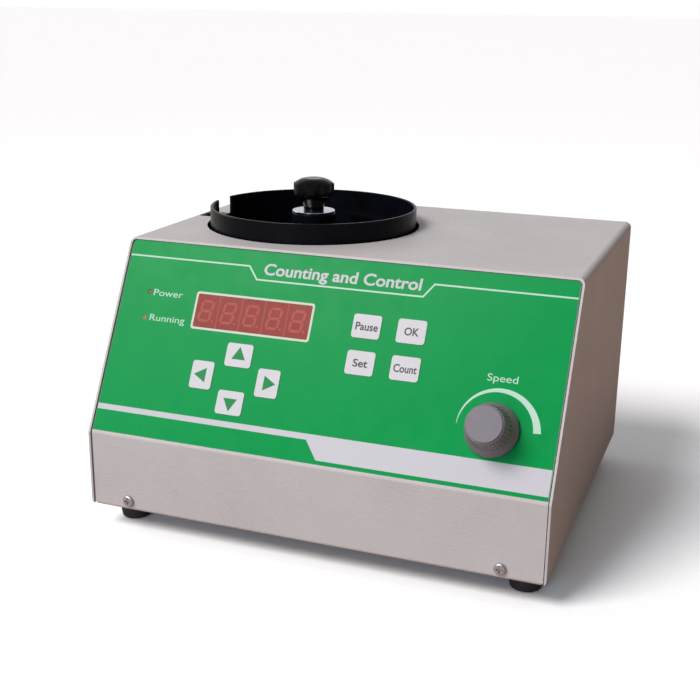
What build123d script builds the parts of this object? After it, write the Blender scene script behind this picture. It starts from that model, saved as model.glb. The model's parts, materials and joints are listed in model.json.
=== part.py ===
"""Bench-top electronic seed counter: sheet-metal case, sloping control panel, vibratory bowl.

The origin is at the middle of the whole outline, on the surface that the feet stand on.
+X is to the operator's right, +Y is towards the back and +Z is up.
Case coordinates used below: x from the case's middle, y from its front edge, h above its bottom.
"""

from build123d import *
import os
from math import atan2, cos, degrees, pi, sin

os.makedirs("parts", exist_ok=True)

# Case
CASE_W = 320.0
CASE_D = 270.0
CASE_H = 178.0
FRONT_LIP = 54.0  # height of the upright strip below the slope
SLOPE_RUN = 67.0  # how far back the slope's top lies
SHEET = 1.5
COVER_BEND = 4.5  # outside radius of the cover's folds
PANEL_BEND = 2.5  # outside radius of the panels' folds
PANEL_CORNER = 3.2
INSET = 1.0  # how far the panels sit inside the cover's edge
SIDE_GAP = 0.7
COVER_FLANGE = 14.0
PANEL_FLANGE = 40.0
TOP_FLANGE = 13.0
BASE_SHEET = 2.0
FLANGE_RELIEF = 5.0

# Feet
FOOT_H = 16.0
FOOT_TOP_R = 12.5
FOOT_BOTTOM_R = 10.0
FOOT_X = 142.0
FOOT_Y = 28.5

# Bowl and its drive, about one upright axis
BOWL_X = -60.8
BOWL_Y = 163.2
BOWL_R = 77.0
BOWL_WALL = 2.0
BOWL_RIM = 192.0
BOWL_BASE = 154.0
HOLE_R = 79.5
HUB_R = 16.3
HUB_TOP = 187.4
NOTCH_FROM = 171.0
NOTCH_TO = 187.0
TRACK_END = 179.0  # height of the track where it leaves through the notch
STUD_R = 4.0

# Seed slot, chute and outlet on the left
SLOT_X = (-155.0, -137.0)
SLOT_Y = (158.0, 178.0)
SPOUT_REACH = 16.0

# Control panel, x across and v up the slope from the fold
OVERLAY = 0.3
OVERLAY_X = 157.5
OVERLAY_V = (2.5, 138.9)
WINDOW = (-56.4, 93.55, 84.2, 23.1)
LED_X = -136.3
LED_V = (102.7, 84.2)
LED_R = 1.5
LED_HOLE_R = 1.6
KNOB_AT = (117.2, 40.0)
KNOB_TOP = 24.5
KNOB_FACE_R = 11.2
KNOB_EDGE = 0.5  # rounding of the cap's rim
KEY_TRAVEL = 0.4
KEY_PROUD = 0.75
KEY_CORNER = 2.0
KEY_GAP = 0.15  # all round a key in the overlay
STEM_R = 2.0
STEM_HOLE_R = 2.6
SHAFT_R = 3.0
BUSH_R = 3.5
ARROWS = (-59.8, 49.8)
FUNCTION_KEYS = (40.5, 83.25)
KEYS = {
    "key_up": (ARROWS[0], ARROWS[1] + 16.2, 19.0, 16.0),
    "key_down": (ARROWS[0], ARROWS[1] - 16.2, 19.0, 16.0),
    "key_left": (ARROWS[0] - 24.2, ARROWS[1], 16.0, 19.0),
    "key_right": (ARROWS[0] + 24.2, ARROWS[1], 16.0, 19.0),
    "key_pause": (FUNCTION_KEYS[0] - 15.2, FUNCTION_KEYS[1] + 12.15, 19.2, 15.8),
    "key_ok": (FUNCTION_KEYS[0] + 15.2, FUNCTION_KEYS[1] + 12.15, 19.2, 15.8),
    "key_set": (FUNCTION_KEYS[0] - 15.2, FUNCTION_KEYS[1] - 12.15, 19.2, 15.8),
    "key_count": (FUNCTION_KEYS[0] + 15.2, FUNCTION_KEYS[1] - 12.15, 19.2, 15.8),
}
BOARD_N = -10.5  # face of the display board, measured out from the panel
BOARD = 1.6
FIT = 0.05  # radial play of a screw, shaft or stem in its hole

# Back panel
INLET_X = 105.0
ROCKER_X = 55.0
FUSE_X = 20.0
BACK_ROW_H = 40.0
FUSE_REACH = 11.0

SLOPE = atan2(SLOPE_RUN, CASE_H - FRONT_LIP)  # the panel's lean from upright
# how far the speed knob's cap stands in front of the case
knob_rim_out = KNOB_TOP - KNOB_EDGE - INSET
knob_rim_up = KNOB_AT[1] - KNOB_FACE_R + KNOB_EDGE
KNOB_REACH = knob_rim_out * cos(SLOPE) - knob_rim_up * sin(SLOPE) + KNOB_EDGE
BACK_REACH = FUSE_REACH - INSET

# Where the case stands so that the whole outline is centred on the origin
CASE_X = SPOUT_REACH / 2
CASE_Y = -(CASE_D + BACK_REACH - KNOB_REACH) / 2
CASE_Z = FOOT_H


def level(h, x=0.0, y=0.0):
    """Plane that faces up."""
    return Plane(origin=(CASE_X + x, CASE_Y + y, CASE_Z + h))


def facing_front(x, y, h):
    """Upright plane that faces the operator, with its y up."""
    return Plane(origin=(CASE_X + x, CASE_Y + y, CASE_Z + h), x_dir=(1, 0, 0), z_dir=(0, -1, 0))


def facing_back(x, y, h):
    """Upright plane that faces away from the operator, with its y up."""
    return Plane(origin=(CASE_X + x, CASE_Y + y, CASE_Z + h), x_dir=(-1, 0, 0), z_dir=(0, 1, 0))


def facing_right(x, y, h):
    """Upright plane that faces right, with its x towards the back and its y up."""
    return Plane(origin=(CASE_X + x, CASE_Y + y, CASE_Z + h), x_dir=(0, 1, 0), z_dir=(1, 0, 0))


def on_slope(x, v, n=0.0):
    """Plane along the sloping panel, n outwards from its sheet's face."""
    y = CASE_Y + (INSET - n) * cos(SLOPE) + v * sin(SLOPE)
    z = CASE_Z + FRONT_LIP - (INSET - n) * sin(SLOPE) + v * cos(SLOPE)
    return Plane(origin=(CASE_X + x, y, z), x_dir=(1, 0, 0), z_dir=(0, -cos(SLOPE), sin(SLOPE)))


def about_bowl(h, turn=0.0):
    """Plane that faces up on the bowl's axis, with its x turned from the case's x."""
    axis = Vector(cos(turn * pi / 180), sin(turn * pi / 180), 0)
    return Plane(origin=(CASE_X + BOWL_X, CASE_Y + BOWL_Y, CASE_Z + h), x_dir=axis, z_dir=(0, 0, 1))


def bowl_section(turn=0.0):
    """Upright half plane through the bowl's axis: x outwards, y up from the case's bottom."""
    out = Vector(cos(turn * pi / 180), sin(turn * pi / 180), 0)
    centre = (CASE_X + BOWL_X, CASE_Y + BOWL_Y, CASE_Z)
    return Plane(origin=centre, x_dir=out, z_dir=out.cross(Vector(0, 0, 1)))


BOWL_AXIS = Axis((CASE_X + BOWL_X, CASE_Y + BOWL_Y, 0), (0, 0, 1))

# ---------------------------------------------------------------- case

PANEL_HALF = CASE_W / 2 - SHEET - SIDE_GAP
TOP_UNDER = CASE_H - SHEET - 0.3  # upper face of the panels' top flanges
slope_at_top = (TOP_UNDER - FRONT_LIP + INSET * sin(SLOPE)) / cos(SLOPE)
slope_top_y = INSET * cos(SLOPE) + slope_at_top * sin(SLOPE)
fold_v = INSET * (1 - cos(SLOPE)) / sin(SLOPE)
fold_h = FRONT_LIP - INSET * sin(SLOPE) + fold_v * cos(SLOPE)
SCREW_X = 131.0
SCREW_H = 7.0
FLANGE_NOTCH = 21.0
FLANGE_NOTCH_X = CASE_W / 2 - COVER_FLANGE + 10.0
FLANGE_NOTCH_Y = (FLANGE_RELIEF + PANEL_FLANGE) / 2
M3_R = 1.5
M4_R = 2.0
M5_R = 2.5
COVER_SCREW_X = 150.5
COVER_SCREW_YS = (60.0, 135.0, 210.0)
SPOUT_Y = (SLOT_Y[0] + SLOT_Y[1]) / 2
SPOUT_H = 82.0
SPOUT_HOLES = (36.0, 32.0)
SPOUT_FLANGE = 1.5
CHUTE_W = 26.0
CHUTE_WALL = 1.5

with BuildPart() as cover:
    with BuildSketch(facing_front(0, 0, 0)):
        with BuildLine():
            FilletPolyline(
                (-CASE_W / 2 + COVER_FLANGE, 0),
                (-CASE_W / 2, 0),
                (-CASE_W / 2, CASE_H),
                (CASE_W / 2, CASE_H),
                (CASE_W / 2, 0),
                (CASE_W / 2 - COVER_FLANGE, 0),
                radius=COVER_BEND,
            )
            offset(amount=SHEET, side=Side.RIGHT)
        make_face()
    extrude(amount=-CASE_D)
    # everything in front of the slope
    with BuildSketch(facing_right(0, 0, 0)):
        with BuildLine():
            Polyline(
                (0, FRONT_LIP),
                (SLOPE_RUN * 1.2, FRONT_LIP + (CASE_H - FRONT_LIP) * 1.2),
                (-10, FRONT_LIP + (CASE_H - FRONT_LIP) * 1.2),
                (-10, FRONT_LIP),
                close=True,
            )
        make_face()
    extrude(amount=CASE_W, both=True, mode=Mode.SUBTRACT)
    # the floor flanges stop short of the panels' folds
    with BuildSketch(level(0)):
        with Locations((0, FLANGE_RELIEF / 2), (0, CASE_D - FLANGE_RELIEF / 2)):
            Rectangle(CASE_W - 2 * SHEET, FLANGE_RELIEF)
    extrude(amount=SHEET + 3.0, mode=Mode.SUBTRACT)
    # bowl hole and seed slot in the top
    with BuildSketch(level(CASE_H - SHEET - 1)):
        with Locations((BOWL_X, BOWL_Y)):
            Circle(HOLE_R)
        with Locations(((SLOT_X[0] + SLOT_X[1]) / 2, SPOUT_Y)):
            RectangleRounded(SLOT_X[1] - SLOT_X[0], SLOT_Y[1] - SLOT_Y[0], 2.0)
    extrude(amount=SHEET + 2, mode=Mode.SUBTRACT)
    # outlet in the left side, with the spout's four screw holes
    with BuildSketch(facing_right(-CASE_W / 2 - 1, SPOUT_Y, SPOUT_H)):
        Rectangle(CHUTE_W, 24.0)
        with GridLocations(*SPOUT_HOLES, 2, 2):
            Circle(M3_R + FIT)
    extrude(amount=SHEET + 2, mode=Mode.SUBTRACT)
    # screws that hold the cover to the base, from below
    with BuildSketch(level(-1)):
        for side in (-1, 1):
            with Locations(*[(side * COVER_SCREW_X, y) for y in COVER_SCREW_YS]):
                Circle(M3_R + 0.2)
    extrude(amount=SHEET + 2, mode=Mode.SUBTRACT)
cover.part.label = "cover"
export_step(cover.part, "parts/cover.step")

with BuildPart() as front_panel:
    with BuildSketch(facing_right(-PANEL_HALF, 0, 0)):
        with BuildLine():
            FilletPolyline(
                (PANEL_FLANGE, 0),
                (INSET, 0),
                (INSET, fold_h),
                (slope_top_y, TOP_UNDER),
                (slope_top_y + TOP_FLANGE, TOP_UNDER),
                radius=PANEL_BEND,
            )
            offset(amount=SHEET, side=Side.RIGHT)
        make_face()
    extrude(amount=2 * PANEL_HALF)
    # top corners rounded to sit inside the cover's folds
    with BuildSketch(facing_front(0, 0, TOP_UNDER / 2)):
        RectangleRounded(2 * PANEL_HALF, TOP_UNDER, PANEL_CORNER)
    extrude(amount=-CASE_D, mode=Mode.INTERSECT)
    # floor flange narrows to pass between the cover's flanges
    with BuildSketch(level(-1)):
        for side in (-1, 1):
            with Locations((side * FLANGE_NOTCH_X, FLANGE_NOTCH_Y)):
                Rectangle(FLANGE_NOTCH, PANEL_FLANGE - FLANGE_RELIEF + 2)
    extrude(amount=SHEET + 2, mode=Mode.SUBTRACT)
    with BuildSketch(level(-1)):
        with Locations((-FOOT_X, FOOT_Y), (FOOT_X, FOOT_Y)):
            Circle(M4_R + FIT)
    extrude(amount=SHEET + 2, mode=Mode.SUBTRACT)
    with BuildSketch(facing_front(0, INSET - 1, SCREW_H)):
        with Locations((-SCREW_X, 0), (SCREW_X, 0)):
            Circle(M3_R + FIT)
    extrude(amount=-(SHEET + 2), mode=Mode.SUBTRACT)
    # window, lamps, key stems and speed control
    with BuildSketch(on_slope(0, 0, 1)):
        with Locations(WINDOW[:2]):
            RectangleRounded(WINDOW[2], WINDOW[3], 1.0)
        with Locations((LED_X, LED_V[0]), (LED_X, LED_V[1])):
            Circle(LED_HOLE_R)
        with Locations(*[key[:2] for key in KEYS.values()]):
            Circle(STEM_HOLE_R)
        with Locations(KNOB_AT):
            Circle(BUSH_R + FIT)
    extrude(amount=-(SHEET + 2), mode=Mode.SUBTRACT)
front_panel.part.label = "front_panel"
export_step(front_panel.part, "parts/front_panel.step")

VENT_ROWS = 5
VENT_PITCH = 9.0
with BuildPart() as rear_panel:
    with BuildSketch(facing_right(-PANEL_HALF, 0, 0)):
        with BuildLine():
            FilletPolyline(
                (CASE_D - PANEL_FLANGE, 0),
                (CASE_D - INSET, 0),
                (CASE_D - INSET, TOP_UNDER),
                (CASE_D - INSET - TOP_FLANGE, TOP_UNDER),
                radius=PANEL_BEND,
            )
            offset(amount=SHEET, side=Side.LEFT)
        make_face()
    extrude(amount=2 * PANEL_HALF)
    with BuildSketch(facing_front(0, 0, TOP_UNDER / 2)):
        RectangleRounded(2 * PANEL_HALF, TOP_UNDER, PANEL_CORNER)
    extrude(amount=-CASE_D, mode=Mode.INTERSECT)
    with BuildSketch(level(-1)):
        for side in (-1, 1):
            with Locations((side * FLANGE_NOTCH_X, CASE_D - FLANGE_NOTCH_Y)):
                Rectangle(FLANGE_NOTCH, PANEL_FLANGE - FLANGE_RELIEF + 2)
        with Locations((-FOOT_X, CASE_D - FOOT_Y), (FOOT_X, CASE_D - FOOT_Y)):
            Circle(M4_R + FIT)
    extrude(amount=SHEET + 2, mode=Mode.SUBTRACT)
    with BuildSketch(facing_front(0, CASE_D + 1, 0)):
        with Locations((-SCREW_X, SCREW_H), (SCREW_X, SCREW_H)):
            Circle(M3_R + FIT)
        with Locations((INLET_X, BACK_ROW_H)):
            RectangleRounded(27.4, 20.2, 2.0)
        with Locations((ROCKER_X, BACK_ROW_H)):
            Rectangle(13.0, 19.4)
        with Locations((FUSE_X, BACK_ROW_H)):
            Circle(6.1)
        for side in (-1, 1):
            with Locations((side * 90.0, 125.0)):
                with GridLocations(0, VENT_PITCH, 1, VENT_ROWS):
                    SlotOverall(60.0, 3.0)
    extrude(amount=SHEET + 3, mode=Mode.SUBTRACT)
rear_panel.part.label = "rear_panel"
export_step(rear_panel.part, "parts/rear_panel.step")

BASE_TOP = SHEET + BASE_SHEET
BASE_HALF = CASE_W / 2 - 5.0
UPSTAND = 16.0
ISOLATOR_ANGLES = (30, 150, 270)
ISOLATOR_PCR = 45.0
STANDOFF_AT = (92.0, 98.0)
STANDOFF_GRID = (90.0, 66.0)
TRANSFORMER_AT = (95.0, 195.0)
TRANSFORMER_SCREWS = 68.0
with BuildPart() as base_plate:
    with BuildSketch(facing_right(-BASE_HALF, 0, 0)):
        with BuildLine():
            FilletPolyline(
                (INSET + SHEET + 0.1, UPSTAND),
                (INSET + SHEET + 0.1, SHEET),
                (CASE_D - INSET - SHEET - 0.1, SHEET),
                (CASE_D - INSET - SHEET - 0.1, UPSTAND),
                radius=3.0,
            )
            offset(amount=BASE_SHEET, side=Side.LEFT)
        make_face()
    extrude(amount=2 * BASE_HALF)
    with BuildSketch(level(0)):
        for side in (-1, 1):
            with Locations(*[(side * COVER_SCREW_X, y) for y in COVER_SCREW_YS]):
                Circle(M3_R + FIT)
            with Locations((side * FOOT_X, FOOT_Y), (side * FOOT_X, CASE_D - FOOT_Y)):
                Circle(M4_R + FIT)
        with Locations((BOWL_X, BOWL_Y)):
            with PolarLocations(ISOLATOR_PCR, 3, start_angle=ISOLATOR_ANGLES[0]):
                Circle(M5_R + FIT)
        with Locations(STANDOFF_AT):
            with GridLocations(*STANDOFF_GRID, 2, 2):
                Circle(M3_R + FIT)
        with Locations(TRANSFORMER_AT):
            with GridLocations(TRANSFORMER_SCREWS, 0, 2, 1):
                Circle(M3_R + FIT)
        # vents under the boards
        with Locations((92.0, 147.0), (-60.0, 68.0)):
            with GridLocations(9.0, 0, 7, 1):
                SlotOverall(22.0, 3.0, rotation=90)
    extrude(amount=BASE_TOP + 2, mode=Mode.SUBTRACT)
    with BuildSketch(facing_front(0, 0, SCREW_H)):
        with Locations((-SCREW_X, 0), (SCREW_X, 0)):
            Circle(M3_R + FIT)
    extrude(amount=-CASE_D, mode=Mode.SUBTRACT)
base_plate.part.label = "base_plate"
export_step(base_plate.part, "parts/base_plate.step")


def pan_screws(planes, radius, length, head_r, head_h):
    """Pan-head cross-recess screws that stand on these planes, with their heads outwards."""
    with BuildPart() as made:
        with BuildSketch(*planes):
            Circle(radius)
        extrude(amount=-length)
        with BuildSketch(*planes):
            Circle(head_r)
        extrude(amount=head_h)
        crowns = [plane.offset(head_h).origin for plane in planes]
        circles = made.edges().filter_by(GeomType.CIRCLE)
        rims = [e for e in circles if min((e.arc_center - crown).length for crown in crowns) < 0.01]
        fillet(rims, head_h * 0.62)
        with BuildSketch(*[p.offset(head_h + 0.1) for p in planes]):
            Rectangle(head_r * 1.05, head_r * 0.26)
            Rectangle(head_r * 0.26, head_r * 1.05)
        extrude(amount=-head_h * 0.75, mode=Mode.SUBTRACT)
    return made


front_screws = pan_screws(
    [facing_front(side * SCREW_X, INSET, SCREW_H) for side in (-1, 1)], M3_R, 8.0, 4.0, 2.1
)
front_screws.part.label = "front_screws"
export_step(front_screws.part, "parts/front_screws.step")

rear_screws = pan_screws(
    [facing_back(side * SCREW_X, CASE_D - INSET, SCREW_H) for side in (-1, 1)], M3_R, 8.0, 4.0, 2.1
)
rear_screws.part.label = "rear_screws"
export_step(rear_screws.part, "parts/rear_screws.step")


def facing_down(x, y, h):
    """Plane that faces the surface below."""
    return Plane(origin=(CASE_X + x, CASE_Y + y, CASE_Z + h), x_dir=(1, 0, 0), z_dir=(0, 0, -1))


cover_screw_planes = [
    facing_down(side * COVER_SCREW_X, y, 0)
    for side in (-1, 1)
    for y in COVER_SCREW_YS
]
transformer_screw_planes = [
    facing_down(TRANSFORMER_AT[0] + side * TRANSFORMER_SCREWS / 2, TRANSFORMER_AT[1], SHEET)
    for side in (-1, 1)
]
base_screws = pan_screws(cover_screw_planes + transformer_screw_planes, M3_R, 6.0, 3.0, 1.9)
base_screws.part.label = "base_screws"
export_step(base_screws.part, "parts/base_screws.step")

FOOT_PLACES = [(side * FOOT_X, y) for side in (-1, 1) for y in (FOOT_Y, CASE_D - FOOT_Y)]
FOOT_SEAT = 6.0  # rubber left above the screw's head
FOOT_POCKET_R = 4.6
with BuildPart() as feet:
    with BuildSketch(level(-FOOT_H)):
        with Locations(*FOOT_PLACES):
            Circle(FOOT_BOTTOM_R)
    extrude(amount=FOOT_H, taper=-degrees(atan2(FOOT_TOP_R - FOOT_BOTTOM_R, FOOT_H)))
    fillet(feet.edges().group_by(Axis.Z)[0], 1.2)
    with BuildSketch(level(-FOOT_H)):
        with Locations(*FOOT_PLACES):
            Circle(FOOT_POCKET_R)
    extrude(amount=FOOT_H - FOOT_SEAT, mode=Mode.SUBTRACT)
    with BuildSketch(level(-FOOT_H)):
        with Locations(*FOOT_PLACES):
            Circle(M4_R + FIT)
    extrude(amount=FOOT_H, mode=Mode.SUBTRACT)
feet.part.label = "feet"
export_step(feet.part, "parts/feet.step")

foot_screw_planes = [facing_down(x, y, -FOOT_SEAT) for x, y in FOOT_PLACES]
foot_screws = pan_screws(foot_screw_planes, M4_R, 13.0, 4.0, 2.6)
foot_screws.part.label = "foot_screws"
export_step(foot_screws.part, "parts/foot_screws.step")

# ---------------------------------------------------------------- control panel

overlay_mid = (OVERLAY_V[0] + OVERLAY_V[1]) / 2
with BuildPart() as panel_overlay:
    with BuildSketch(on_slope(0, 0)):
        with Locations((0, overlay_mid)):
            Rectangle(2 * OVERLAY_X, OVERLAY_V[1] - OVERLAY_V[0])
        fillet(vertices().group_by(Axis.Y)[-1], 2.5)
        with Locations(WINDOW[:2]):
            RectangleRounded(WINDOW[2], WINDOW[3], 1.0, mode=Mode.SUBTRACT)
        with Locations((LED_X, LED_V[0]), (LED_X, LED_V[1])):
            Circle(LED_HOLE_R, mode=Mode.SUBTRACT)
        for x, v, width, height in KEYS.values():
            with Locations((x, v)):
                RectangleRounded(
                    width + 2 * KEY_GAP, height + 2 * KEY_GAP, KEY_CORNER + KEY_GAP, mode=Mode.SUBTRACT
                )
        with Locations(KNOB_AT):
            Circle(BUSH_R + FIT, mode=Mode.SUBTRACT)
    extrude(amount=OVERLAY)
panel_overlay.part.label = "panel_overlay"
export_step(panel_overlay.part, "parts/panel_overlay.step")

WINDOW_BACK = 0.8
with BuildPart() as display_window:
    with BuildSketch(on_slope(*WINDOW[:2], OVERLAY)):
        RectangleRounded(WINDOW[2] - 2 * FIT, WINDOW[3] - 2 * FIT, 1.0 - FIT)
    extrude(amount=-(OVERLAY + SHEET))
    with BuildSketch(on_slope(*WINDOW[:2], -SHEET)):
        RectangleRounded(WINDOW[2] + 6, WINDOW[3] + 6, 2.0)
    extrude(amount=-WINDOW_BACK)
display_window.part.label = "display_window"
export_step(display_window.part, "parts/display_window.step")

SWITCH_H = 4.0
for name, (x, v, width, height) in KEYS.items():
    with BuildPart() as key:
        with BuildSketch(on_slope(x, v, KEY_TRAVEL + FIT)):
            RectangleRounded(width, height, KEY_CORNER)
        extrude(amount=KEY_PROUD - KEY_TRAVEL - FIT)
        with BuildSketch(on_slope(x, v, KEY_TRAVEL + FIT)):
            Circle(STEM_R)
        extrude(amount=-(KEY_TRAVEL + FIT - BOARD_N - SWITCH_H + 1.0))
    key.part.label = name
    export_step(key.part, f"parts/{name}.step")

with BuildPart() as key_switches:
    with BuildSketch(on_slope(0, 0, BOARD_N)):
        with Locations(*[key[:2] for key in KEYS.values()]):
            RectangleRounded(12.0, 12.0, 0.8)
    extrude(amount=SWITCH_H)
    with BuildSketch(on_slope(0, 0, BOARD_N + SWITCH_H)):
        with Locations(*[key[:2] for key in KEYS.values()]):
            Circle(STEM_R + FIT)
    extrude(amount=-(SWITCH_H - 1.0), mode=Mode.SUBTRACT)
key_switches.part.label = "key_switches"
export_step(key_switches.part, "parts/key_switches.step")

BOARD_X = (-147.0, 76.0)
BOARD_V = (17.0, 117.0)
STUDS = [(x, v) for x in (-142.0, 0.0, 71.0) for v in (22.0, 112.0)]
with BuildPart() as display_board:
    with BuildSketch(on_slope(0, 0, BOARD_N)):
        with Locations(((BOARD_X[0] + BOARD_X[1]) / 2, (BOARD_V[0] + BOARD_V[1]) / 2)):
            RectangleRounded(BOARD_X[1] - BOARD_X[0], BOARD_V[1] - BOARD_V[0], 2.0)
        with Locations(*STUDS):
            Circle(M3_R + FIT, mode=Mode.SUBTRACT)
    extrude(amount=-BOARD)
display_board.part.label = "display_board"
export_step(display_board.part, "parts/display_board.step")

DIGIT_PITCH = 16.85
with BuildPart() as digit_modules:
    with BuildSketch(on_slope(*WINDOW[:2], BOARD_N)):
        with GridLocations(DIGIT_PITCH, 0, 5, 1):
            Rectangle(DIGIT_PITCH - 0.7, WINDOW[3] - 0.6)
    extrude(amount=-BOARD_N - SHEET - WINDOW_BACK - 0.3)
digit_modules.part.label = "digit_modules"
export_step(digit_modules.part, "parts/digit_modules.step")

with BuildPart() as indicator_leds:
    lamp_planes = [on_slope(LED_X, v, BOARD_N) for v in LED_V]
    with BuildSketch(*lamp_planes):
        Circle(LED_R)
    extrude(amount=-BOARD_N + 0.2)
    fillet(indicator_leds.edges().filter_by(GeomType.CIRCLE).sort_by(Axis.Z)[-1:], 1.0)
    with BuildSketch(*lamp_planes):
        Circle(1.9)
    extrude(amount=6.0)
indicator_leds.part.label = "indicator_leds"
export_step(indicator_leds.part, "parts/indicator_leds.step")

with BuildPart() as panel_studs:
    with BuildSketch(on_slope(0, 0, -SHEET)):
        with Locations(*STUDS):
            Circle(3.0)
    extrude(amount=BOARD_N + SHEET)
    with BuildSketch(on_slope(0, 0, BOARD_N)):
        with Locations(*STUDS):
            Circle(M3_R)
    extrude(amount=-6.0)
panel_studs.part.label = "panel_studs"
export_step(panel_studs.part, "parts/panel_studs.step")

with BuildPart() as board_nuts:
    with BuildSketch(on_slope(0, 0, BOARD_N - BOARD)):
        with Locations(*STUDS):
            RegularPolygon(2.75, 6, major_radius=False)
            Circle(M3_R + FIT, mode=Mode.SUBTRACT)
    extrude(amount=-2.4)
board_nuts.part.label = "board_nuts"
export_step(board_nuts.part, "parts/board_nuts.step")

# speed control
with BuildPart() as pot_body:
    with BuildSketch(on_slope(*KNOB_AT, -SHEET)):
        Circle(12.0)
    extrude(amount=-9.5)
    fillet(pot_body.edges().group_by(Axis((0, 0, 0), (0, -cos(SLOPE), sin(SLOPE))))[0], 1.0)
    with BuildSketch(on_slope(*KNOB_AT, -SHEET)):
        Circle(BUSH_R)
    extrude(amount=SHEET + 6.0)
    with BuildSketch(on_slope(*KNOB_AT, 6.5)):
        Circle(SHAFT_R + FIT)
    extrude(amount=-13.0, mode=Mode.SUBTRACT)
    with BuildSketch(on_slope(KNOB_AT[0], KNOB_AT[1] - 15.0, -SHEET - 5.0)):
        with GridLocations(5.0, 0, 3, 1):
            Rectangle(2.4, 10.0)
    extrude(amount=-0.8)
pot_body.part.label = "pot_body"
export_step(pot_body.part, "parts/pot_body.step")

with BuildPart() as pot_nut:
    with BuildSketch(on_slope(*KNOB_AT, OVERLAY)):
        Circle(6.2)
        Circle(BUSH_R + FIT, mode=Mode.SUBTRACT)
    extrude(amount=0.6)
    with BuildSketch(on_slope(*KNOB_AT, OVERLAY + 0.6)):
        RegularPolygon(5.0, 6, major_radius=False)
        Circle(BUSH_R + FIT, mode=Mode.SUBTRACT)
    extrude(amount=2.0)
pot_nut.part.label = "pot_nut"
export_step(pot_nut.part, "parts/pot_nut.step")

with BuildPart() as pot_shaft:
    with BuildSketch(on_slope(*KNOB_AT, -5.5)):
        Circle(SHAFT_R)
    extrude(amount=20.5)
    with BuildSketch(on_slope(*KNOB_AT, 8.0)):
        with Locations((0, -SHAFT_R - 0.5)):
            Rectangle(2 * SHAFT_R, 4.0)
    extrude(amount=8.0, mode=Mode.SUBTRACT)
pot_shaft.part.label = "pot_shaft"
export_step(pot_shaft.part, "parts/pot_shaft.step")

knob_plane = on_slope(*KNOB_AT)
knob_section = Plane(origin=knob_plane.origin, x_dir=(1, 0, 0), z_dir=-knob_plane.y_dir)
KNOB_SKIRT_R = 17.2
KNOB_RIBS = 32
KNOB_HOLLOW = 8.2  # room for the nut under the knob
GRIP_R = 14.1
GRIP_FOOT = 10.6
with BuildPart() as speed_knob:
    with BuildSketch(knob_section):
        with BuildLine():
            Polyline(
                (0, KNOB_HOLLOW), (7.6, KNOB_HOLLOW), (7.6, 1.0), (KNOB_SKIRT_R - 0.6, 1.0),
                (KNOB_SKIRT_R, 1.6), (KNOB_SKIRT_R, 2.6),
            )
            ThreePointArc((KNOB_SKIRT_R, 2.6), (KNOB_SKIRT_R - 0.5, 4.2), (KNOB_SKIRT_R - 1.2, 5.6))
            Line((KNOB_SKIRT_R - 1.2, 5.6), (GRIP_R, GRIP_FOOT))
            Line((GRIP_R, GRIP_FOOT), (KNOB_FACE_R + 1.1, KNOB_TOP - 2.0))
            ThreePointArc(
                (KNOB_FACE_R + 1.1, KNOB_TOP - 2.0), (KNOB_FACE_R + 0.8, KNOB_TOP - 1.35),
                (KNOB_FACE_R + 0.2, KNOB_TOP - 1.0),
            )
            Polyline(
                (KNOB_FACE_R + 0.2, KNOB_TOP - 1.0), (KNOB_FACE_R - 0.4, KNOB_TOP - 1.0),
                (KNOB_FACE_R - 0.4, KNOB_TOP - 2.0), (0, KNOB_TOP - 2.0), (0, KNOB_HOLLOW),
            )
        make_face()
    revolve(axis=Axis(knob_plane.origin, knob_plane.z_dir))
    # grip grooves down the cone
    groove_planes = []
    for turn in range(KNOB_RIBS):
        around = Vector(cos(2 * pi * turn / KNOB_RIBS), sin(2 * pi * turn / KNOB_RIBS), 0)
        lean = knob_plane.x_dir * around.X + knob_plane.y_dir * around.Y
        foot_point = knob_plane.origin + lean * (GRIP_R + 0.25) + knob_plane.z_dir * GRIP_FOOT
        head_point = knob_plane.origin + lean * (KNOB_FACE_R + 1.2) + knob_plane.z_dir * KNOB_TOP
        groove_planes.append(Plane(origin=foot_point, z_dir=head_point - foot_point))
    with BuildSketch(*groove_planes):
        Circle(0.62)
    extrude(amount=15.0, mode=Mode.SUBTRACT)
    with BuildSketch(on_slope(*KNOB_AT, 8.0)):
        Circle(SHAFT_R + FIT)
    extrude(amount=7.1, mode=Mode.SUBTRACT)
speed_knob.part.label = "speed_knob"
export_step(speed_knob.part, "parts/speed_knob.step")

with BuildPart() as knob_cap:
    with BuildSketch(on_slope(*KNOB_AT, KNOB_TOP - 1.95)):
        Circle(KNOB_FACE_R - 0.45)
    extrude(amount=1.35)
    with BuildSketch(on_slope(*KNOB_AT, KNOB_TOP - 0.9)):
        Circle(KNOB_FACE_R)
    extrude(amount=0.9)
    knob_axis = Axis(knob_plane.origin, knob_plane.z_dir)
    fillet(knob_cap.edges().group_by(knob_axis)[-1], KNOB_EDGE)
knob_cap.part.label = "knob_cap"
export_step(knob_cap.part, "parts/knob_cap.step")

# ---------------------------------------------------------------- vibratory drive

ISOLATOR_H = 15.0
ISOLATOR_R = 11.0
DRIVE_BASE_H = BASE_TOP + ISOLATOR_H
DRIVE_BASE_T = 18.0
DRIVE_R = 62.0
SPRING_ANGLES = (90, 210, 330)
SPRING_R = 50.0
SPRING_LEAN = 15.0 * pi / 180
SPRING_L = 80.0
SPRING_W = 22.0
SPRING_T = 2.4
SPRING_MID = DRIVE_BASE_H + DRIVE_BASE_T + SPRING_L / 2 * cos(SPRING_LEAN) + 3.0
CLAMP_V = 31.0
CLAMP_T = 3.0
CLAMP_H = 16.0
LUG_T = 12.0
LUG_V = (22.0, 46.0)
SPRING_SCREWS = 11.0
TOP_BLOCK_H = 2 * SPRING_MID - DRIVE_BASE_H - DRIVE_BASE_T
WASHER_T = 1.2
STUD_TOP = 203.0


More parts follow.
